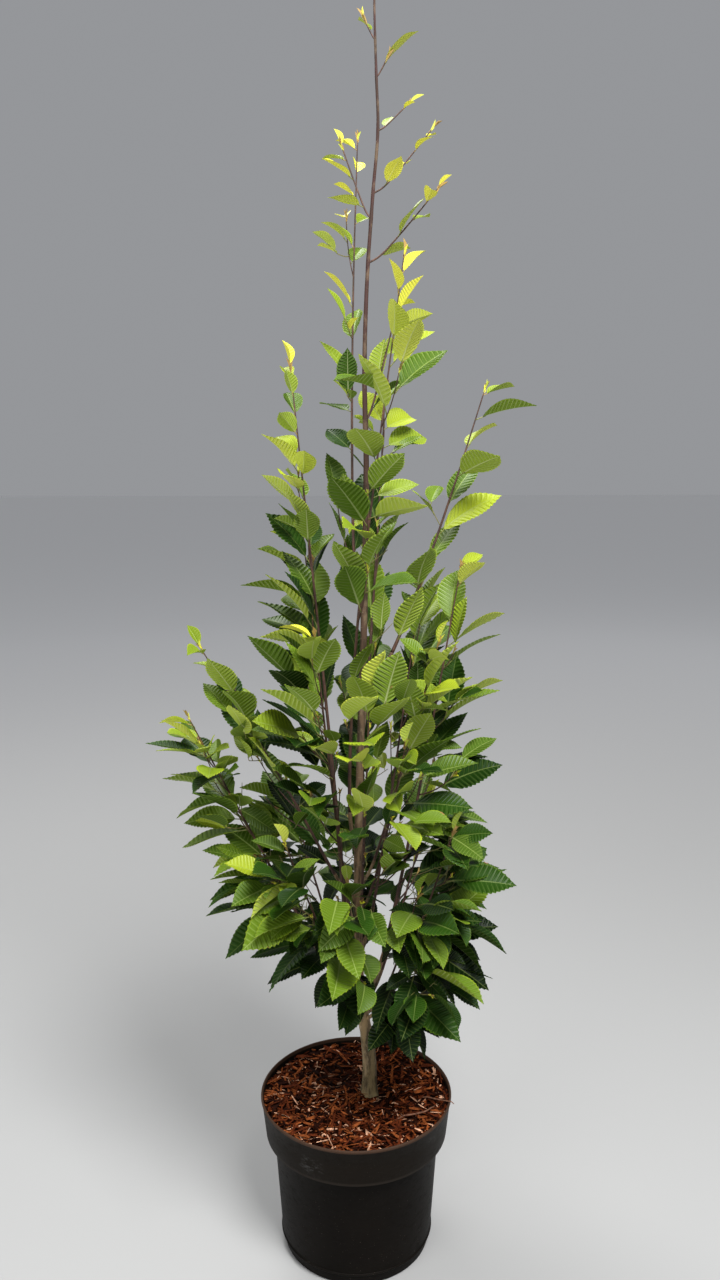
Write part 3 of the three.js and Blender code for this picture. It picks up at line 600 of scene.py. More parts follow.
# Each shoot runs from foot to top in height and reach in plan, towards a heading in degrees.
# Its row ends with whatever departs from the usual shoot.
SIZES = ("name", "foot", "top", "toward", "reach", "thick", "leaf", "seed")
USUAL_SHOOT = dict(bow=0.8, elbow=0.06, twist=0, bare=0.27, twigs=0.5, fresh=0.2, spread=54, step=1)
SHOOTS = (
    ("left_low", 335, 738, 182, 222, 3.6, 90, 18, dict(bow=0.95, twigs=0.6, fresh=0.3, step=1.1)),
    ("low_front_left", 352, 590, 218, 118, 2.8, 96, 17, dict(bow=0.85, bare=0.3, twigs=0.6, fresh=0.3)),
    ("low_front", 345, 540, 258, 78, 2.4, 86, 28, dict(bow=0.75, twigs=0.6)),
    ("low_front_right", 312, 520, 318, 92, 2.6, 90, 28, dict(bow=0.75, bare=0.3, twigs=0.6, fresh=0.1)),
    ("right_low", 320, 585, 352, 118, 2.8, 98, 2, dict(bow=0.7, twigs=0.65, fresh=0.15)),
    ("low_back_right", 330, 590, 42, 128, 2.8, 94, 16, dict(bare=0.3)),
    ("low_back", 325, 550, 92, 108, 2.6, 94, 16, dict(bow=0.75, bare=0.3)),
    ("low_back_left", 342, 620, 140, 135, 2.8, 94, 28, dict(bow=0.85, bare=0.3)),
    ("left_tall", 304, 1175, 186, 90, 4.6, 84, 16,
     dict(bow=1.15, elbow=0.18, twist=-20, twigs=0.4, fresh=0.38, step=1.25)),
    ("left_mid", 480, 826, 176, 203, 3, 88, 20, dict(bow=1.1, bare=0.25, twigs=0.45, fresh=0.3)),
    ("right_mid", 335, 930, 356, 125, 4, 94, 18, dict(bow=0.82, twigs=0.6)),
    ("right_inner", 500, 840, 332, 112, 2.6, 86, 10, dict(bow=0.9, fresh=0.3)),
    ("front_left_mid", 436, 860, 238, 96, 2.8, 94, 17, dict(bare=0.25, twigs=0.6)),
    ("front_mid", 440, 800, 280, 88, 2.6, 96, 21, dict(bow=0.75, bare=0.25, twigs=0.6)),
    ("back_mid", 380, 920, 84, 95, 3, 92, 17, dict()),
    ("back_left_mid", 420, 980, 133, 108, 3, 92, 31, dict(bow=0.85)),
    ("back_right_mid", 400, 900, 40, 110, 3, 92, 25, dict(bow=0.85)),
    ("front_tall", 540, 1300, 328, 66, 3.2, 88, 30,
     dict(bow=0.6, twist=100, bare=0.22, twigs=0.25, fresh=0.3, step=1.3)),
    ("right_tall", 770, 1150, 2, 152, 3.2, 90, 5, dict(twigs=0.1, fresh=0.12, spread=35, step=1.25)),
    ("left_upright", 872, 1440, 110, 20, 2.6, 70, 12,
     dict(bow=0.25, twist=-75, bare=0.12, twigs=0.1, fresh=0.6, step=1.5)),
    ("back_tall", 700, 1150, 62, 70, 3, 88, 29, dict(bare=0.22, twigs=0.2, step=1.3)),
    ("front_right_mid", 470, 720, 306, 100, 2.6, 92, 20, dict(bow=0.75, bare=0.25, twigs=0.6)),
    ("spur_right", 1110, 1250, 10, 40, 1.6, 70, 20, dict(bow=0.9, bare=0, twigs=0, fresh=0.5, step=1.2)),
    ("twig_right_low", 1295, 1378, 358, 82, 1.4, 56, 21, dict(bow=0.9, bare=0, twigs=0, fresh=0.7)),
    ("twig_left", 1345, 1425, 180, 34, 1.2, 54, 26, dict(bow=0.9, bare=0, twigs=0, fresh=0.6)),
    ("twig_right_mid", 1373, 1446, 4, 70, 1.2, 44, 5, dict(bow=0.9, bare=0, twigs=0, fresh=0.7)),
    ("twig_right_top", 1442, 1472, 0, 36, 1, 34, 16, dict(bow=0.9, bare=0, twigs=0, fresh=0.6)),
    ("spur_high_right", 1500, 1522, 350, 14, 0.9, 64, 4, dict(bow=0.9, bare=0, twigs=0, fresh=0.3)),
    ("spur_high_left", 1540, 1560, 185, 12, 0.9, 40, 9, dict(bow=0.9, bare=0, twigs=0, fresh=0.6)),
    ("spur_high_front", 1600, 1622, 300, 14, 0.8, 44, 26, dict(bow=0.9, bare=0, twigs=0, fresh=0.6)),
)


def mix(a, b, share):
    return a + (b - a) * share


def clamp(x):
    return max(0.0, min(1.0, x))


def heading(degrees):
    """The level direction at a heading."""
    return np.array([math.cos(math.radians(degrees)), math.sin(math.radians(degrees)), 0.0])


def climbing(out, rise):
    """A level direction raised by an angle in radians."""
    return out * math.cos(rise) + UP * math.sin(rise)


def bearing(along):
    """A direction's heading in degrees."""
    return math.degrees(math.atan2(along[1], along[0]))


def on_line(line, share):
    """The point at a share of a curve through points, each stretch a cubic."""
    p = (len(line) - 1) * share
    i = min(int(math.floor(p)), len(line) - 2)
    w = p - i
    p1, p2 = line[i], line[i + 1]
    p0 = line[i - 1] if i > 0 else 2 * line[0] - line[1]
    p3 = line[i + 2] if i + 2 < len(line) else 2 * line[-1] - line[-2]
    t0, t1 = 0.5 * (p2 - p0), 0.5 * (p3 - p1)
    return p1 + w * (t0 + w * (-3 * p1 + 3 * p2 - 2 * t0 - t1 + w * (2 * p1 - 2 * p2 + t0 + t1)))


def end_heading(line, share):
    """The direction in which a curve ends, from the given share of it onward."""
    onward = on_line(line, 1) - on_line(line, share)
    return onward / np.linalg.norm(onward)


def along_line(line, low, high, steps):
    return np.array([on_line(line, mix(low, high, k / steps)) for k in range(steps + 1)])


def trunk_at(z):
    """The middle of the trunk at a height."""
    low, high = 0.0, 1.0
    for _ in range(40):
        middle = (low + high) / 2
        if on_line(TRUNK_LINE, middle)[2] < z:
            low = middle
        else:
            high = middle
    return on_line(TRUNK_LINE, low)


def trunk_radius(z):
    """The trunk's taper, thicker below the lowest boughs and flared at its foot."""
    above = z - MULCH_TOP
    left = 1 - clamp(above / (TRUNK_TOP_Z - MULCH_TOP))
    taper = TRUNK_TAPER * left**TRUNK_TAPER_POWER + TRUNK_TIP_RADIUS
    return taper + FORK_SWELL * clamp((FORK_Z - z) / FORK_LENGTH) + FLARE * math.exp(-above / FLARE_HEIGHT)


def stem_radius(shoot, share):
    return mix(shoot["thick"], STEM_TIP_RADIUS, share**STEM_TAPER_POWER)


def shoot_line(shoot):
    """A shoot's curve: it leaves the trunk at an elbow, spreads, and climbs."""
    foot = trunk_at(shoot["foot"])
    points = [foot]
    for u in STATIONS:
        out = shoot["reach"] * ((1 - shoot["elbow"]) * u ** shoot["bow"] + shoot["elbow"])
        turned_to = heading(shoot["toward"] - shoot["twist"] * (1 - u))
        points.append(foot + turned_to * out + UP * (shoot["top"] - shoot["foot"]) * u)
    return np.array(points)


shoots = [{**USUAL_SHOOT, **dict(zip(SIZES, row)), **row[-1]} for row in SHOOTS]
for shoot in shoots:
    shoot["line"] = shoot_line(shoot)
tip_line = np.array([TRUNK_LINE[-1] + (TREE_TOP - TRUNK_LINE[-1]) * u for u in (0, 0.35, 0.7, 1)])
leader_tip = dict(name="leader_tip", toward=0, bare=0, twigs=0, fresh=1, thick=1.2, leaf=50, seed=32)
shoots.append({**USUAL_SHOOT, **leader_tip, "line": tip_line})


def wobble(rows, sides, seed, coarse):
    """Smooth random relief over a tube's rings, from -1 to 1."""
    field = np.random.default_rng(seed).normal(size=(rows // coarse[0] + 3, sides // coarse[1] + 2))
    field[:, -1] = field[:, 0]
    y = np.linspace(0, field.shape[0] - 1.001, rows)
    x = np.linspace(0, field.shape[1] - 1.001, sides, endpoint=False)
    iy, ix = y.astype(int), x.astype(int)
    wy, wx = (y - iy)[:, None], (x - ix)[None]
    wy, wx = wy * wy * (3 - 2 * wy), wx * wx * (3 - 2 * wx)
    upper = field[iy][:, ix] * (1 - wx) + field[iy][:, ix + 1] * wx
    lower = field[iy + 1][:, ix] * (1 - wx) + field[iy + 1][:, ix + 1] * wx
    return np.clip((upper * (1 - wy) + lower * wy) * 0.6, -1, 1)


# The height of a knot in the bark, its turn in radians, and how far it reaches in each
KNOT_Z = 240
KNOT_TURN = -1.15
KNOT_HIGH = 5
KNOT_WIDE = 0.5

TRUNK_SIDES = 28
BOUGH_SIDES = 16
BOUGH_RINGS = 60
bark = Heap()
trunk_shares = np.concatenate([np.linspace(0, 0.12, 90, endpoint=False), np.linspace(0.12, 1, 400)])
rings = len(trunk_shares)
trunk_middles = np.array([on_line(TRUNK_LINE, share) for share in trunk_shares])
trunk_middles[0, 2] = MULCH_TOP - 8
trunk_z = trunk_middles[:, 2]
radii = np.array([trunk_radius(max(z, MULCH_TOP)) for z in trunk_z])
radii *= 1 - 0.15 * np.clip((trunk_z - 1000) / 300, 0, 1)
ripple = wobble(rings, TRUNK_SIDES, 5, (6, 4)) * 0.35 + wobble(rings, TRUNK_SIDES, 6, (2, 2)) * 0.16
ripple *= (radii / 8)[:, None]
turn = np.arange(TRUNK_SIDES) * 2 * np.pi / TRUNK_SIDES
low_down = np.exp(-(trunk_z - MULCH_TOP) / 16)[:, None]
ripple += low_down * 1.1 * (np.sin(turn * 3 + 0.6) + 0.6 * np.sin(turn * 5))[None]
for shoot in shoots:
    rise = trunk_z - shoot["line"][0][2]
    collar = 0.16 * shoot["thick"] * np.cos(rise / 14 * np.pi / 2) ** 2
    ripple += np.where(np.abs(rise) < 14, collar, 0)[:, None]
knot = np.array([
    [math.hypot((z - KNOT_Z) / KNOT_HIGH, math.remainder(t - KNOT_TURN, math.tau) / KNOT_WIDE) for t in turn]
    for z in trunk_z
])
ripple += 0.8 * np.exp(-((knot - 1) ** 2) / 0.15) - 0.7 * np.exp(-(knot**2) / 0.3)
tube(bark, trunk_middles, radii, TRUNK_SIDES, 0, ripple)
for k, shoot in enumerate(shoots):
    if shoot["bare"] == 0:
        continue
    middles = along_line(shoot["line"], 0, shoot["bare"], BOUGH_RINGS - 1)
    off = np.linalg.norm(middles - middles[0], axis=1)
    radii = np.array([stem_radius(shoot, share) for share in np.linspace(0, shoot["bare"], BOUGH_RINGS)])
    radii = radii * (1 + 0.5 * np.exp(-off / 9))
    ripple = wobble(BOUGH_RINGS, BOUGH_SIDES, 40 + k, (4, 4)) * 0.045 * radii[:, None]
    tube(bark, middles, radii, BOUGH_SIDES, 0, ripple)

old_bark, place, feed = patterned("smooth_bark", (0.16, 0.13, 0.09), 0.8)
height = place.height()
streak = grain(place, 150, 6, 0.6, (1, 1, 0.16))
patch = grain(place, 60, 4, 0.6, (1, 1, 0.55))
cork = grain(place, 330, 3, 0.5, (0.5, 0.5, 2.4)).step(0.63, 0.7)
older = height.node(
    "ShaderNodeValToRGB",
    {0: height.step(0.2, 1.5)},
    stops=[
        (0.0, (0.210, 0.156, 0.068)), (0.05, (0.31, 0.195, 0.095)), (0.25, (0.20, 0.125, 0.070)),
        (0.5, (0.12, 0.066, 0.040)), (0.8, (0.055, 0.020, 0.015)), (1.0, (0.045, 0.013, 0.011)),
    ],
)
tone = (streak.step(0.42, 0.60) * height.step(0.45, 1.2, 0.84, 0.5)).blend(older, (0.030, 0.021, 0.009))
tone = (patch.step(0.50, 0.64) * height.step(0.45, 1.2, 0.56, 0.2)).blend(tone, (0.40, 0.295, 0.170))
tone = (cork * height.step(1.25, 0.9, 0.06, 0.55)).blend(tone, (0.33, 0.26, 0.17))
feed(
    Base_Color=tone,
    Roughness=0.66 + streak * 0.22,
    Normal=relief(streak + cork * 0.5, 0.55, 0.0009),
)
limbs = bark.made("bark_of_limbs", [old_bark])
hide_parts("trunk", *["bough_" + shoot["name"] for shoot in shoots if shoot["bare"] > 0])
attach(limbs, "root")

# Stems and twigs
# Each bough runs on as the stem of one mass of foliage. Twigs leave it on alternate sides,
# and fine side twigs leave those. They are thin, wine-brown and a little zigzag.
NODE_STEP = 28
FIRST_LEAF_AT = dict(bough=16, long_shoot=26, short_shoot=12)
LONG_SHOOT = 50
BARE_TIP = 3
NEAR_TRUNK = 14

TWIG_STEP = 26
TWIG_SHORTEST = 50
TWIG_LONGEST = 120
TWIG_SHORTENING = 0.45
TWIGS_END = 0.8
TWIG_SWING = 20
TWIG_RISE = 22
TWIG_STEEPEST = 72
TWIG_LIFT = 14
TWIG_TURNS = (0, 30, -30, 60, -60)
TWIG_SHARE_OF_STEM = 0.6
THICKEST_TWIG = 1.5
TWIG_TIP_RADIUS = 0.6

LEAF_WIDTH = 0.46
PETIOLE = 0.13
YOUNG_SIZE = 0.42
USUAL_LEAF = 80
SIZE_SWING = 0.16
FIRST_LEAF_SIZE = 0.85
LOW_LEAF_RISE = -22
HIGH_LEAF_RISE = 40
RISE_FROM_Z = 330
RISE_SPAN = 520
LEAF_YAW = 30
TWIG_LEAF_YAW = 25
TWIG_LEAF_SWING = 55
RISE_SWING = 22
ROLL_SWING = 40
ARCH = (0.15, 0.8)
FOLD = (0.08, 0.4)
END_LEAF = dict(arch=0.3, fold=0.5, broad=0.4, young=1)
END_LEAF_SIZE = 0.4
STEEPEST_END_LEAF = 80

SPACE_MARGIN = 1
LIMB_CLEARANCE = 2.5
LEAF_SPACING = 17
OUT_OF_REACH = 195
POT_CLEARANCE_Z = 212
SHRINKS = (1, 0.85, 0.7)


LEHMER_MODULUS = 2**31 - 1
LEHMER_STEP = 16807


class Draw:
    """Seeded draws from 0 to 1, a Lehmer sequence."""

    def __init__(self, seed):
        self.state = (seed * 7919 + 17) % LEHMER_MODULUS
        for _ in range(3):
            self()

    def __call__(self):
        self.state = self.state * LEHMER_STEP % LEHMER_MODULUS
        return self.state / LEHMER_MODULUS

    def swing(self, half):
        return (self() * 2 - 1) * half

    def habit(self, yaw):
        """How one leaf departs from the usual stand, and its own arch and fold."""
        return dict(
            yaw=self.swing(yaw), rise=self.swing(RISE_SWING), roll=self.swing(ROLL_SWING),
            arch=mix(*ARCH, self()), fold=mix(*FOLD, self()),
        )


def leaf_rise(z):
    """How steeply a leaf stands at a height: hanging low down and rising at the top."""
    return mix(LOW_LEAF_RISE, HIGH_LEAF_RISE, clamp((z - RISE_FROM_Z) / RISE_SPAN))


def stretches(line, low, high, count):
    """The straight stretches that stand for a part of a curve, as pairs of ends."""
    points = along_line(line, low, high, count)
    return np.stack([points[:-1], points[1:]], 1)


TRUNK_STRETCHES = 60
BOUGH_STRETCHES = 6
STEM_STRETCHES = 12
boughs = [shoot for shoot in shoots if shoot["bare"] > 0]
trunk_ends = stretches(TRUNK_LINE, 0, 1, TRUNK_STRETCHES)
bough_ends = [stretches(bough["line"], 0, bough["bare"], BOUGH_STRETCHES) for bough in boughs]
limb_ends = np.concatenate([trunk_ends, *bough_ends])
limb_radii = np.array(
    [trunk_radius((a[2] + b[2]) / 2) for a, b in trunk_ends]
    + [bough["thick"] for bough in boughs for _ in range(BOUGH_STRETCHES)]
)
stem_ends = np.concatenate([stretches(s["line"], s["bare"], 1, STEM_STRETCHES) for s in shoots])
stem_owner = np.repeat(np.arange(len(shoots)), STEM_STRETCHES)


def distances(points, ends):
    """How far each point is from each straight stretch."""
    start, stretch = ends[:, 0], ends[:, 1] - ends[:, 0]
    from_start = points[:, None] - start[None]
    share = np.clip((from_start * stretch).sum(2) / (stretch * stretch).sum(1), 0, 1)
    return np.linalg.norm(from_start - share[..., None] * stretch, axis=2)


def keeps_clear(points, owner, foot):
    """True if the points stay off the limbs and nearer to their own stem than to any other."""
    near = distances(foot[None], limb_ends)[0] < OUT_OF_REACH
    if (distances(points, limb_ends[near]) - limb_radii[near] < LIMB_CLEARANCE).any():
        return False
    near = distances(foot[None], stem_ends)[0] < OUT_OF_REACH
    away = distances(points, stem_ends[near])
    own = stem_owner[near] == owner
    if own.all():
        return True
    return bool((away[:, ~own].min(1) - away[:, own].min(1) > 2 * SPACE_MARGIN).all())


TEST_SHARES = (0, PETIOLE, 0.22, 0.42, 0.64, 0.84, 1)
TEST_HALF_WIDTHS = (0.02, 0.04, 0.3, 0.5, 0.46, 0.26, 0)


def leaf_test_points(leaf):
    """Points over a leaf, from its rows of left edge, midrib and right edge."""
    side = np.cross(leaf["along"], leaf["up"])
    rib, last, rows = leaf["foot"].copy(), 0, []
    for share, half in zip(TEST_SHARES, TEST_HALF_WIDTHS):
        bend = -leaf["arch"] * (share + last) / 2
        onward = leaf["along"] * math.cos(bend) + leaf["up"] * math.sin(bend)
        rib = rib + onward * leaf["length"] * (share - last)
        last = share
        bend = -leaf["arch"] * share
        normal = leaf["up"] * math.cos(bend) - leaf["along"] * math.sin(bend)
        out = half * leaf["width"]
        lift = normal * out * leaf["fold"]
        rows.append(np.array([rib + side * out + lift, rib, rib - side * out + lift]))
    rows = np.array(rows)
    leaf["ribs"] = rows[2:6, 1]
    return np.concatenate([rows[1:].reshape(-1, 3), ((rows[2:] + rows[1:-1]) / 2).reshape(-1, 3)])


def crowds(leaf, placed, spacing):
    """True if a leaf's rib comes too near to that of a leaf already placed."""
    return any(
        np.linalg.norm(leaf["ribs"][:, None] - other["ribs"][None], axis=2).min() < spacing
        for other in placed
    )


# The turns, to the side that a leaf stands on, and changes of rise that it tries in this order
STEM_TRIES = (
    (0, 0), (-25, 0), (25, 0), (0, 28), (0, -30), (-50, 0), (-50, 28), (-75, 0), (-50, -30), (-100, 0),
    (50, 0), (50, 25), (-140, 10),
)
TWIG_TRIES = ((0, 0), (-25, 0), (25, 0), (0, 28), (0, -30), (-50, 0), (50, 0), (-50, 28))
FINE_TRIES = ((0, 0), (-30, 0), (0, 28), (0, -28), (40, 12))
END_TRIES = ((0, 0), (20, 0), (-20, 0))


def place_leaf(owner, foot, at, side, tries, placed, shrinks=SHRINKS, spacing=LEAF_SPACING):
    """Adds a leaf at the first heading and size, if any, that clear leaves, limbs and other masses."""
    for shrink in shrinks:
        for turn, change in tries:
            out = heading(at["azimuth"] + side * turn)
            rise = math.radians(at["rise"] + change)
            along = climbing(out, rise)
            up = UP * math.cos(rise) - out * math.sin(rise)
            roll = math.radians(at["roll"])
            up = up * math.cos(roll) + np.cross(along, up) * math.sin(roll)
            length = at["length"] * shrink
            leaf = dict(
                foot=foot.copy(), along=along, up=up, length=length, width=length * at["broad"],
                arch=at["arch"], fold=at["fold"], young=at["young"], owner=owner,
            )
            points = leaf_test_points(leaf)
            if points[:, 2].min() < POT_CLEARANCE_Z or crowds(leaf, placed, spacing):
                continue
            if keeps_clear(points, owner, foot):
                placed.append(leaf)
                return


def grow_twig(owner, foot, azimuth, rise, length, size, radius, draw, leaves, twigs):
    """A twig and its leaves, at the first heading at which the twig itself keeps clear."""
    count = max(2, int(length / TWIG_STEP))
    habits = [dict(draw.habit(TWIG_LEAF_YAW), size=draw()) for _ in range(count + 1)]
    steep = min(rise, TWIG_STEEPEST)
    for turn in TWIG_TURNS:
        out = heading(azimuth + turn)
        climbs = [math.radians(steep + TWIG_LIFT * u) for u in (0, 1 / 3, 2 / 3, 1)]
        line = np.array([foot + climbing(out, climb) * length * k / 3 for k, climb in enumerate(climbs)])
        if not keeps_clear(along_line(line, 0.12, 1, 6), owner, foot):
            continue
        thick = min(radius * TWIG_SHARE_OF_STEM, THICKEST_TWIG)
        twigs.append(dict(line=line, radius=thick, length=length, owner=owner))
        for k, habit in enumerate(habits):
            side = 1 if k % 2 else -1
            share = (k + 0.7) / (count + 0.7)
            young = clamp((share - 0.5) * 1.4) * 0.6
            point = on_line(line, min(share, 1))
            at = dict(
                habit, azimuth=azimuth + turn + (0 if k == count else side * TWIG_LEAF_SWING) + habit["yaw"],
                rise=leaf_rise(point[2]) + habit["rise"], broad=LEAF_WIDTH, young=young,
                length=size * mix(1, 0.6, young) * (0.9 + 0.2 * habit["size"]),
            )
            place_leaf(owner, point, at, side, TWIG_TRIES, leaves)
        return True
    return False


def grow_shoot(owner, shoot):
    """The leaves and twigs of one mass, set one after another along its stem."""
    draw = Draw(shoot["seed"])
    leaves, twigs = [], []
    line, bare = shoot["line"], shoot["bare"]
    length = np.linalg.norm(np.diff(along_line(line, bare, 1, 24), axis=0), axis=1).sum()
    at = FIRST_LEAF_AT["bough" if bare > 0 else "long_shoot" if length > LONG_SHOOT else "short_shoot"]
    side = 1 if draw() < 0.5 else -1
    first = True
    while at < length - BARE_TIP:
        along = at / length
        young = clamp((along - 1 + shoot["fresh"]) / shoot["fresh"])
        grown = mix(1, YOUNG_SIZE, young**1.3) * (1 + draw.swing(SIZE_SWING))
        size = shoot["leaf"] * grown * (FIRST_LEAF_SIZE if first else 1)
        side = -side
        habit = draw.habit(LEAF_YAW)
        is_twig = draw() < shoot["twigs"] and along < TWIGS_END
        twig_length = mix(TWIG_SHORTEST, TWIG_LONGEST, draw()) * (1 - TWIG_SHORTENING * along)
        share = mix(bare, 1, along)
        point = on_line(line, share)
        out = point - trunk_at(min(point[2], TRUNK_TOP_Z - 1))
        outward = bearing(out) if math.hypot(out[0], out[1]) > NEAR_TRUNK else shoot["toward"]
        azimuth = outward + side * shoot["spread"] + habit["yaw"]
        rise = leaf_rise(point[2]) + habit["rise"]
        radius = stem_radius(shoot, share)
        if not is_twig or not grow_twig(
            owner, point, azimuth - side * TWIG_SWING, rise + TWIG_RISE, twig_length, size, radius, draw,
            leaves, twigs,
        ):
            own = dict(habit, azimuth=azimuth, rise=rise, length=size, broad=LEAF_WIDTH, young=young)
            place_leaf(owner, point, own, side, STEM_TRIES, leaves)
        first = False
        step = NODE_STEP * shoot["step"] * mix(1, 0.5, young) * (0.9 + 0.2 * draw())
        at += step * mix(0.8, 1, shoot["leaf"] / USUAL_LEAF)
    onward = end_heading(line, 0.97)
    own = dict(
        END_LEAF, azimuth=bearing(onward), roll=draw.swing(ROLL_SWING),
        rise=min(math.degrees(math.asin(onward[2])), STEEPEST_END_LEAF),
        length=shoot["leaf"] * END_LEAF_SIZE,
    )
    place_leaf(owner, on_line(line, 1), own, 1, END_TRIES, leaves, shrinks=(1,))
    return leaves, twigs


leaves, twigs = [], []
for owner, shoot in enumerate(shoots):
    own_leaves, own_twigs = grow_shoot(owner, shoot)
    leaves.extend(own_leaves)
    twigs.extend(own_twigs)

# The same rule carried on to finer twigs, which stay near the larger leaves of their mass.
# Swings, rises, lengths, steps, chances and radii run between the two ends of their pair. A
# leaf tries both sizes of FINE_SHRINKS, and each in FINE_LEAVES has a share of its twig and a turn.
FINE_REACH = 45
FINE_SPACING = 7
FINE_CLEARANCE = 8
FINE_SWINGS = (20, 130)
FINE_RISES = (-5, 60)
FINE_LENGTHS = (14, 44)
FINE_STEPS = (8, 24)
FINE_CHANCES = (0.06, 1)
FINE_SHRINKS = (1, 0.75)
FINE_LEAVES = ((0.45, 50), (0.8, -45), (1.0, 5))
FINE_RADII = (0.7, 0.45)
fine = []
carriers = [dict(line=t["line"], low=0.08, owner=t["owner"], length=t["length"]) for t in twigs]
carriers += [
    dict(line=s["line"], low=s["bare"], owner=k, length=np.linalg.norm(s["line"][-1] - s["line"][0]))
    for k, s in enumerate(shoots)
    if s["bare"] > 0
]
for number, carrier in enumerate(carriers):
    owner = carrier["owner"]
    mass = [leaf for leaf in leaves if leaf["owner"] == owner]
    ribs = np.concatenate([leaf["ribs"] for leaf in mass])
    draw = Draw(500 + number)
    share, side = carrier["low"] + 0.04, 1
    while share < 0.95:
        foot = on_line(carrier["line"], share)
        side = -side
        low_down = clamp((1050 - foot[2]) / 500)
        out = foot - trunk_at(min(foot[2], TRUNK_TOP_Z - 1))
        azimuth = bearing(out) + side * mix(*FINE_SWINGS, draw())
        rise = math.radians(mix(*FINE_RISES, draw()))
        length = mix(*FINE_LENGTHS, draw())
        end = foot + climbing(heading(azimuth), rise) * length
        line = np.array([foot, mix(foot, end, 0.35) - UP * 1.2, mix(foot, end, 0.7) - UP * 0.8, end])
        grown = []
        for station, turn in FINE_LEAVES:
            habit = draw.habit(TWIG_LEAF_YAW)
            young = clamp(draw() * 1.3 - 0.2 - 0.6 * low_down)
            at = dict(
                habit, azimuth=azimuth + side * turn, rise=leaf_rise(foot[2]) + habit["rise"] + 8,
                length=mix(mix(56, 74, low_down), 24, young) * mix(0.8, 1.1, draw()), broad=LEAF_WIDTH,
                young=young,
            )
            point = on_line(line, station)
            place_leaf(owner, point, at, side, FINE_TRIES, grown, FINE_SHRINKS, FINE_SPACING)
        grown = [
            leaf for leaf in grown
            if np.linalg.norm(ribs - leaf["ribs"][2], axis=1).min() < FINE_REACH
            and not crowds(leaf, mass, FINE_CLEARANCE)
        ]
        wanted = draw() < mix(*FINE_CHANCES, clamp((860 - foot[2]) / 380))
        if wanted and grown and keeps_clear(line[1:], owner, foot):
            fine.append(line)
            mass.extend(grown)
            leaves.extend(grown)
        share += mix(*FINE_STEPS, draw()) / carrier["length"]

# Tufts of small leaves that are still unfolding, at the ends of shoots and twigs. Each leaf
# leans out by a splay, towards a turn about the tip.
TUFT = ((0.04, 0), (0.16, 0.3), (0.2, 3.4), (0.42, 1.9))
tips = [dict(line=s["line"], owner=k, size=1.0) for k, s in enumerate(shoots)]
tips += [dict(line=t["line"], owner=t["owner"], size=0.75) for t in twigs]
for number, tip in enumerate(tips):
    draw = Draw(2000 + number)
    end = on_line(tip["line"], 1)
    onward = end_heading(tip["line"], 0.96)
    across = np.cross(onward, [0.4, 1, 0.2])
    across /= np.linalg.norm(across)
    for splay, turn in TUFT:
        turn += draw() * 0.9
        lean = across * math.cos(turn) + np.cross(onward, across) * math.sin(turn)
        along = onward * math.cos(splay) + lean * math.sin(splay)
        up = np.cross(np.cross(along, -lean), along)
        length = mix(11, 20, draw()) * tip["size"]
        foot = end - onward * draw() * 9
        bud = dict(
            foot=foot, along=along, up=up / np.linalg.norm(up), length=length,
            width=length * mix(0.17, 0.27, draw()), arch=0.15, fold=0.9, young=1.0, owner=tip["owner"],
            bud=True,
        )
        if keeps_clear(leaf_test_points(bud), tip["owner"], end):
            leaves.append(bud)

STEM_RINGS, STEM_SIDES = 61, 9
TWIG_RINGS, TWIG_SIDES = 17, 7
FINE_RINGS, FINE_SIDES = 7, 5
wood = Heap()
for k, shoot in enumerate(shoots):
    radii = np.array([stem_radius(shoot, share) for share in np.linspace(shoot["bare"], 1, STEM_RINGS)])
    middles = along_line(shoot["line"], shoot["bare"], 1, STEM_RINGS - 1)
    ripple = wobble(STEM_RINGS, STEM_SIDES, 90 + k, (3, 3)) * 0.05 * radii[:, None]
    tube(wood, middles, radii, STEM_SIDES, 0, ripple)
for k, twig in enumerate(twigs):
    radii = np.linspace(twig["radius"], TWIG_TIP_RADIUS, TWIG_RINGS)
    ripple = wobble(TWIG_RINGS, TWIG_SIDES, 200 + k, (2, 2)) * 0.06
    tube(wood, along_line(twig["line"], 0, 1, TWIG_RINGS - 1), radii, TWIG_SIDES, 0, ripple)
for line in fine:
    radii = np.linspace(*FINE_RADII, FINE_RINGS)
    tube(wood, along_line(line, 0, 1, FINE_RINGS - 1), radii, FINE_SIDES, 1)

young_bark, place, feed = patterned("young_bark", (0.10, 0.045, 0.03), 0.6)
streak = grain(place, 260, 4, 0.6, (1, 1, 0.3))
cork = grain(place, 700, 2, 0.5).step(0.66, 0.72)
tone = streak.step(0.35, 0.68).blend((0.042, 0.021, 0.016), (0.115, 0.052, 0.034))
feed(Base_Color=(cork * 0.5).blend(tone, (0.32, 0.22, 0.14)), Normal=relief(streak, 0.4, 0.0004))
green_wood = paint("green_twig", (0.17, 0.15, 0.045), 0.55)
stems = wood.made("stems_and_twigs", [young_bark, green_wood])
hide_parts(*["foliage_" + shoot["name"] for shoot in shoots])
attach(stems, "root")

# Leaves
# Oval, finely toothed leaves, 5 to 10 cm long, pleated between a dozen pairs of straight
# side veins. Upper sides are dark green, undersides paler, and the youngest yellow-green.
# Their colours also carry painted light and shade: darker low down and inside the crown,
# lighter high up and at the front, with the undersides painted lighter as if lit through.
VEINS = 12
FEW_VEINS = 8
FEWEST_VEINS = 3
WIDEST = 0.45
VEIN_HALF = 0.0045
LAST_VEIN = 0.93
TOOTH_REACH = 0.014
COLUMNS = ((0, 0), (0.92, 1.0), (1.0, 0.6))
WIDE = 2 * len(COLUMNS)
BLADE, RIB, VEIN, MARGIN = 0, 1, 2, 3
BLADE_PARTS = (MARGIN, BLADE, RIB, BLADE, MARGIN)

# A tone has a blade, a rib and a vein finish for its upper side, then three for its underside
UNDER = 3
KINDS = 6

SHEET_GAP = 0.12
RIB_RIDGE = 0.003
RIDGE_HALF = 0.05
ARCH_SHOWN = 0.78


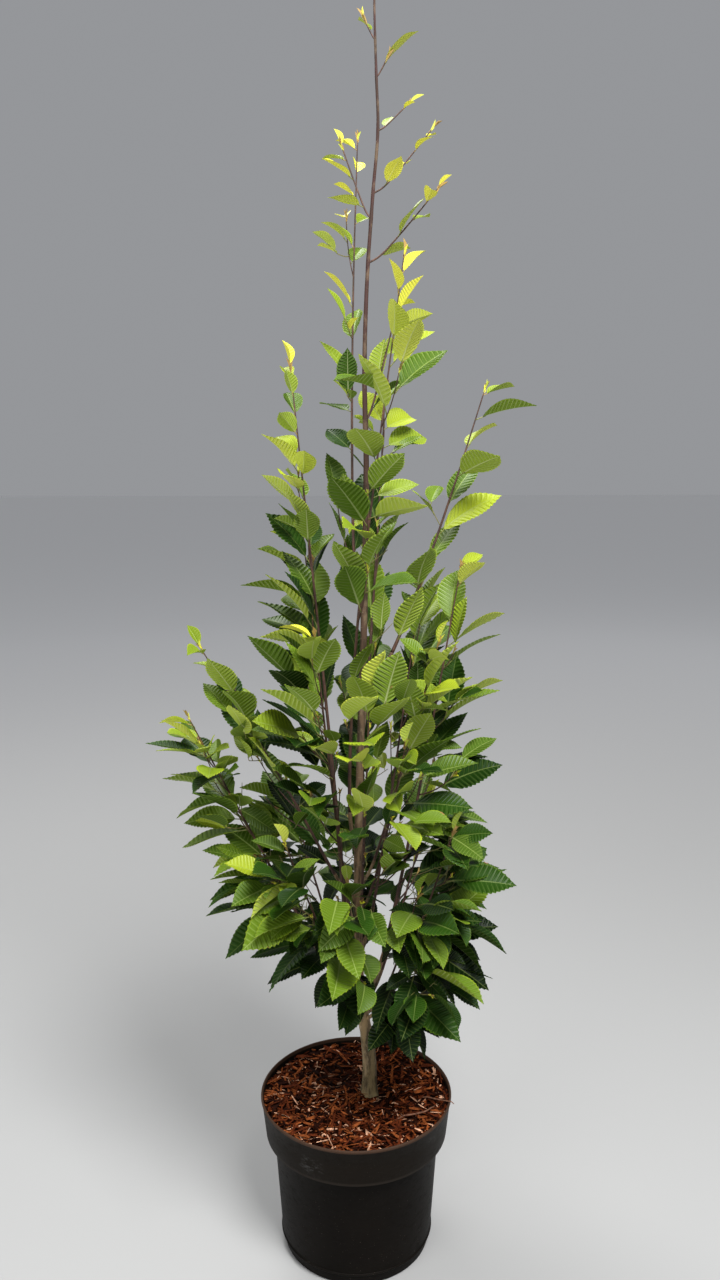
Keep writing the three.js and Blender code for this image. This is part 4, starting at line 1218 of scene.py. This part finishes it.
def half_width(t):
    """Half the blade's width at a share of its length, for a leaf as wide as it is long."""
    if t < WIDEST:
        return 0.5 * (1 - (1 - t / WIDEST) ** 2) ** 0.72
    return 0.5 * (1 - ((t - WIDEST) / (1 - WIDEST)) ** 2.2) ** 1.4


def blade_template(veins):
    """A leaf as rows along its side veins: shares of length and of width, lift, faces and kinds."""
    stations = [(0.0, 1.0, 0.0, 0.0)]
    for k in range(veins):
        vein = (k + 0.5) / veins * LAST_VEIN
        stations.append((vein - VEIN_HALF, 1.015, -1.0, 0.0))
        stations.append((vein + VEIN_HALF, 1.04, -1.0, TOOTH_REACH))
        stations.append(((k + 1) / veins * LAST_VEIN, 0.965, 1.0, 0.0))
    cells = []
    for t, tooth, press, further in stations:
        reach = min(t + 0.15 * (1 - t) ** 0.8 * min(1, t * veins / 1.5), 0.985) if t > 0 else 0.012
        rib = mix(0.030, 0.008, t)
        half = max(half_width(reach) * tooth, rib)
        row = [(mix(t, reach + further, c), mix(rib, half, c), press * swell) for c, swell in COLUMNS]
        cells += row[::-1] + [(s, -x, lift) for s, x, lift in row]
    share, across, lift = np.array([*cells, (1.0, 0.0, 0.0)]).T
    quads, kinds = [], []
    for k in range(3 * veins):
        for c, part in enumerate(BLADE_PARTS):
            a = k * WIDE + c
            quads.append((a, a + WIDE, a + WIDE + 1, a + 1))
            kinds.append(VEIN if k % 3 == 1 and part == BLADE else part)
    last = 3 * veins * WIDE
    tips = [(last + c, len(cells), last + c + 1) for c in range(WIDE - 1)]
    share = PETIOLE + (1 - PETIOLE) * share
    return share, across, lift, np.array(quads), np.array(kinds), np.array(tips), np.array(BLADE_PARTS)


def midrib(leaf, share):
    """The arched midrib at shares of the leaf's length, and how far it has bent there."""
    arch = max(leaf["arch"] * ARCH_SHOWN, 0.02)
    bend = arch * share
    rib = leaf["foot"] + np.outer(np.sin(bend), leaf["along"]) * leaf["length"] / arch
    return rib - np.outer(1 - np.cos(bend), leaf["up"]) * leaf["length"] / arch, bend


def lay_blade(heap, leaf, template, tone):
    """Lays the template on a leaf, upper side and underside, and gives each face its kind."""
    share, across, lift, quads, kinds, tips, tip_kinds = template
    length = leaf["length"]
    rib, bend = midrib(leaf, share)
    side = np.cross(leaf["along"], leaf["up"])
    normal = np.outer(np.cos(bend), leaf["up"]) + np.outer(np.sin(bend), leaf["along"])
    out = across * leaf["width"]
    wave = leaf["wave"] * length * np.sin(share * 9 + leaf["phase"] + np.sign(across)) * np.abs(across) * 2
    twist = leaf["twist"] * (share - PETIOLE)
    lean = side[None] * np.cos(twist)[:, None] + normal * np.sin(twist)[:, None]
    points = rib + lean * out[:, None]
    points += normal * (np.abs(out) * leaf["fold"] + lift * leaf["pleat"] * length + wave)[:, None]
    under = points - normal * (RIB_RIDGE * length * (np.abs(across) < RIDGE_HALF) + SHEET_GAP)[:, None]
    # Margins take the blade of the next lighter tone: a painted highlight along the leaf's edge
    lit_margin = (tone + 1 if tone < LIME else tone) * KINDS
    upper_kinds = [np.where(some == MARGIN, lit_margin, tone * KINDS + some) for some in (kinds, tip_kinds)]
    under_kinds = [some + UNDER for some in upper_kinds]
    if "spot" in leaf:
        at, off, size = leaf["spot"]
        middle_share, middle_across = share[quads].mean(1), across[quads].mean(1)
        burnt = np.hypot(middle_share - at, (middle_across - off) * 0.5) < size
        upper_kinds[0] = np.where(burnt, SCORCHED, upper_kinds[0])
        under_kinds[0] = np.where(burnt, SCORCHED, under_kinds[0])
    heap.add(points, [quads, tips], upper_kinds)
    heap.add(under, [quads[:, [0, 3, 2, 1]], tips[:, ::-1]], under_kinds)


# Colours of the upper side and the underside, from the deepest shade to the topmost leaves.
# The steps between tones are painted light and shade across the crown. The undersides are
# painted lighter, and the glow tone lightest, as if light shone through the leaf
TONES = {
    "shade": ((0.0038, 0.0145, 0.001), (0.013, 0.033, 0.0025)),
    "deep": ((0.0085, 0.030, 0.0018), (0.030, 0.069, 0.005)),
    "dark": ((0.020, 0.060, 0.0035), (0.075, 0.136, 0.011)),
    "full": ((0.064, 0.124, 0.007), (0.188, 0.284, 0.026)),
    "mid": ((0.116, 0.194, 0.010), (0.296, 0.396, 0.042)),
    "light": ((0.195, 0.274, 0.013), (0.440, 0.535, 0.075)),
    "lime": ((0.330, 0.405, 0.018), (0.600, 0.660, 0.085)),
    "glow": ((0.720, 0.715, 0.045), (0.850, 0.820, 0.085)),
    "bronze": ((0.310, 0.185, 0.055), (0.400, 0.260, 0.085)),
}
DIM = ("shade", "deep", "dark")
LIME, LIGHTEST, BRONZE = (list(TONES).index(name) for name in ("lime", "glow", "bronze"))
BUD_TONES = [BRONZE, BRONZE, BRONZE, LIGHTEST, LIME]
MOST_TRIANGLES = 170000

leaf_materials = []
for name, (upper, lower) in TONES.items():
    dim = name in DIM
    for side, colour, pale, rough, sheen in (
        ("upper", upper, (0.32, 0.40, 0.11), 0.44, 0.16 if dim else 0.26),
        ("under", lower, (0.70, 0.74, 0.40), 0.6, 0.08 if dim else 0.14),
    ):
        for part, share in (("blade", 0), ("rib", 0.26 if dim else 0.5), ("vein", 0.08 if dim else 0.26)):
            shade = tuple(max(c, mix(c, d, share)) for c, d in zip(colour, pale))
            title = "leaf_%s_%s_%s" % (name, side, part)
            leaf_materials.append(paint(title, shade, rough, Specular_IOR_Level=sheen))
SCORCHED = len(leaf_materials)
leaf_materials.append(paint("leaf_scorched", (0.34, 0.17, 0.06), 0.8))

# Where sprays of leaves at the front are painted lighter, as painted light: x, height, and how far they reach
BRIGHT_SPRAYS = (
    (-69, 517, 38), (-34, 540, 30), (-12, 492, 36), (73, 501, 36), (38, 778, 40), (-11, 721, 36),
    (-26, 821, 26), (29, 664, 34), (127, 841, 45), (95, 762, 34), (-165, 577, 40), (-211, 712, 45),
    (-66, 1058, 45), (38, 1247, 50), (62, 1236, 50), (14, 1016, 30), (81, 1088, 40), (69, 1003, 36),
    (131, 1003, 40), (-12, 632, 26),
)

# The sprays lighten only what stands in front of this plane
FRONT_Y = 20

# Tones that a leaf gains by its height, by lying far out, by being young or in a spray, and
# those that it loses low down. Height, lying far out, the sprays and being low down are painted
# light and shade. Youth is the young leaves' own paler green
BASE_TONE = -0.25
HIGH_TONES = 3.5
OUTER_TONES = 2.0
YOUNG_TONES = 2.6
SPRAY_TONES = 1.6
LOW_TONES = 0.8
TONE_SPREAD = 1.2
YOUNG_FROM = 0.4
SCORCHED_SHARE = 0.09

# The lightest tone below SHADED_Z
SHADED_TONE = 4

# Heights at which the light on the crown changes
LOW_CROWN_Z = 450
CROWN_RISE = 800
SHADED_Z = 540
SHADED_DEPTH = 160
BRIGHT_Z = 1150
UPPER_Z = 1250
TIP_Z = 1370

rng = np.random.default_rng(7)
tones = []
for leaf in leaves:
    young, z = leaf["young"], leaf["foot"][2]
    leaf["pleat"] = rng.uniform(0.0055, 0.0098) * mix(1, 0.5, clamp((z - 1000) / 300))
    leaf["wave"] = rng.uniform(0.0, 0.018)
    leaf["phase"] = rng.uniform(0, 6.3)
    leaf["twist"] = rng.uniform(-0.5, 0.5)
    leaf["fold"] += 0.5 * young
    middle = leaf["foot"] + leaf["along"] * leaf["length"] * 0.5
    high = clamp((z - LOW_CROWN_Z) / CROWN_RISE)
    outer = clamp(math.hypot(middle[0] - 8, middle[1] - 5) / 150)
    lowest = clamp((SHADED_Z - z) / SHADED_DEPTH)
    value = BASE_TONE + HIGH_TONES * high + OUTER_TONES * outer + YOUNG_TONES * young**1.2
    value = value - LOW_TONES * lowest + rng.normal() * TONE_SPREAD
    # Painted light: the top of the crown and the leader's tip are lighter still
    value += 1.4 * (z > UPPER_Z) + 1.6 * (z > TIP_Z)
    if middle[1] < FRONT_Y:
        in_spray = any(math.hypot(middle[0] - x, middle[2] - h) < near for x, h, near in BRIGHT_SPRAYS)
        value += SPRAY_TONES * in_spray
    if young < YOUNG_FROM and z < TIP_Z:
        value = min(value, 3.8 + 3.1 * high - 0.6 * lowest + (rng.random() < 0.07))
    most = LIGHTEST if z > BRIGHT_Z or young > 0.6 and rng.random() < 0.4 else LIME
    if z < SHADED_Z:
        most = SHADED_TONE
    tones.append(int(np.clip(round(value), 0, most)))
    if "bud" in leaf:
        tones[-1] = int(rng.choice(BUD_TONES))
    if young < YOUNG_FROM and rng.random() < SCORCHED_SHARE:
        edge = rng.choice([-1, 1])
        leaf["spot"] = (rng.uniform(0.55, 1.0), edge * rng.uniform(0.3, 0.5), rng.uniform(0.02, 0.055))

# The least length of a leaf for each template
templates = ((40, blade_template(VEINS)), (21, blade_template(FEW_VEINS)), (0, blade_template(FEWEST_VEINS)))
by_height = sorted(range(len(leaves)), key=lambda k: leaves[k]["foot"][2])
heap, masses, number = Heap(), set(), 1
for k in by_height:
    leaf = leaves[k]
    template = next(template for least, template in templates if leaf["length"] >= least)
    lay_blade(heap, leaf, template, tones[k])
    masses.add(leaf["owner"])
    if heap.triangles > MOST_TRIANGLES or k == by_height[-1]:
        blades = heap.made("leaves_%d" % number, leaf_materials, smooth=False)
        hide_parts(*["foliage_" + shoots[m]["name"] for m in sorted(masses)])
        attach(blades, "root")
        heap, masses, number = Heap(), set(), number + 1

# Leaf stalks
# Each leaf hangs on a short round stalk, green, or warmer on the young leaves at the tips.
stalks = Heap()
for leaf in leaves:
    rib, bend = midrib(leaf, np.linspace(0, PETIOLE + 0.05, 5))
    thick = (0.35 + 0.005 * leaf["length"]) * np.array([1.15, 1, 0.95, 0.9, 0.5])
    tube(stalks, rib - leaf["up"] * 0.35, thick, 5, 0 if leaf["young"] < 0.5 else 1)
stalk_finishes = [paint("stalk_green", (0.19, 0.20, 0.05), 0.5), paint("stalk_warm", (0.36, 0.25, 0.07), 0.5)]
petioles = stalks.made("leaf_stalks", stalk_finishes)
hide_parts(*["foliage_" + shoot["name"] for shoot in shoots])
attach(petioles, "root")

# Floor, light and camera
# A pale floor, a broad soft light from the front and above, and the view of the photograph.
FLOOR_HALF = 40000
FLOOR_Z = -0.5
AIM = Vector((0, 0, 0.8))
pale_floor, place, feed = patterned("pale_floor", (0.42, 0.42, 0.415), 0.9, Specular_IOR_Level=0.1)
away = place.distance((0, 0, 0))
feed(Base_Color=away.step(1.0, 5.5).blend((0.42, 0.42, 0.415), (0.94, 0.94, 0.94)))
corners = FLOOR_HALF * np.array([(-1, -1, 0), (1, -1, 0), (1, 1, 0), (-1, 1, 0)]) + (0, 0, FLOOR_Z)
floor = shaped("floor", corners, [np.array([[0, 1, 2, 3]])], [pale_floor], smooth=False)
floor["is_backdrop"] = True
sky = bpy.data.worlds.new("studio")
sky.use_nodes = True
sky.node_tree.nodes["Background"].inputs["Color"].default_value = (0.30, 0.307, 0.322, 1)
sky.node_tree.nodes["Background"].inputs["Strength"].default_value = 1.0
bpy.context.scene.world = sky
bpy.context.scene.view_settings.view_transform = "Standard"
for name, at, size, power in (
    ("key", (0.7, -1.4, 2.8), 1.0, 108),
    ("fill", (-1.3, -1.6, 1.3), 1.4, 17),
    ("back", (-0.7, 1.2, 2.8), 1.2, 45),
):
    lamp = bpy.data.lights.new(name, "AREA")
    lamp.size = size
    lamp.energy = power
    holder = bpy.data.objects.new(name, lamp)
    holder.location = at
    holder.rotation_euler = (AIM - Vector(at)).to_track_quat("-Z", "Y").to_euler()
    bpy.context.scene.collection.objects.link(holder)

FOCAL_PIXELS = 1009
PHOTO_PIXELS = 1280
PITCH = 9.61
ROLL = 0.14
lens = bpy.data.cameras.new("view")
lens.sensor_fit = "VERTICAL"
lens.sensor_height = 36
lens.lens = FOCAL_PIXELS * lens.sensor_height / PHOTO_PIXELS
camera = bpy.data.objects.new("view", lens)
camera.location = (0.0073, -1.262, 1.053)
camera.rotation_euler = (math.radians(90 - PITCH), math.radians(ROLL), 0)
bpy.context.scene.collection.objects.link(camera)
bpy.context.scene.camera = camera

low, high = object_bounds()
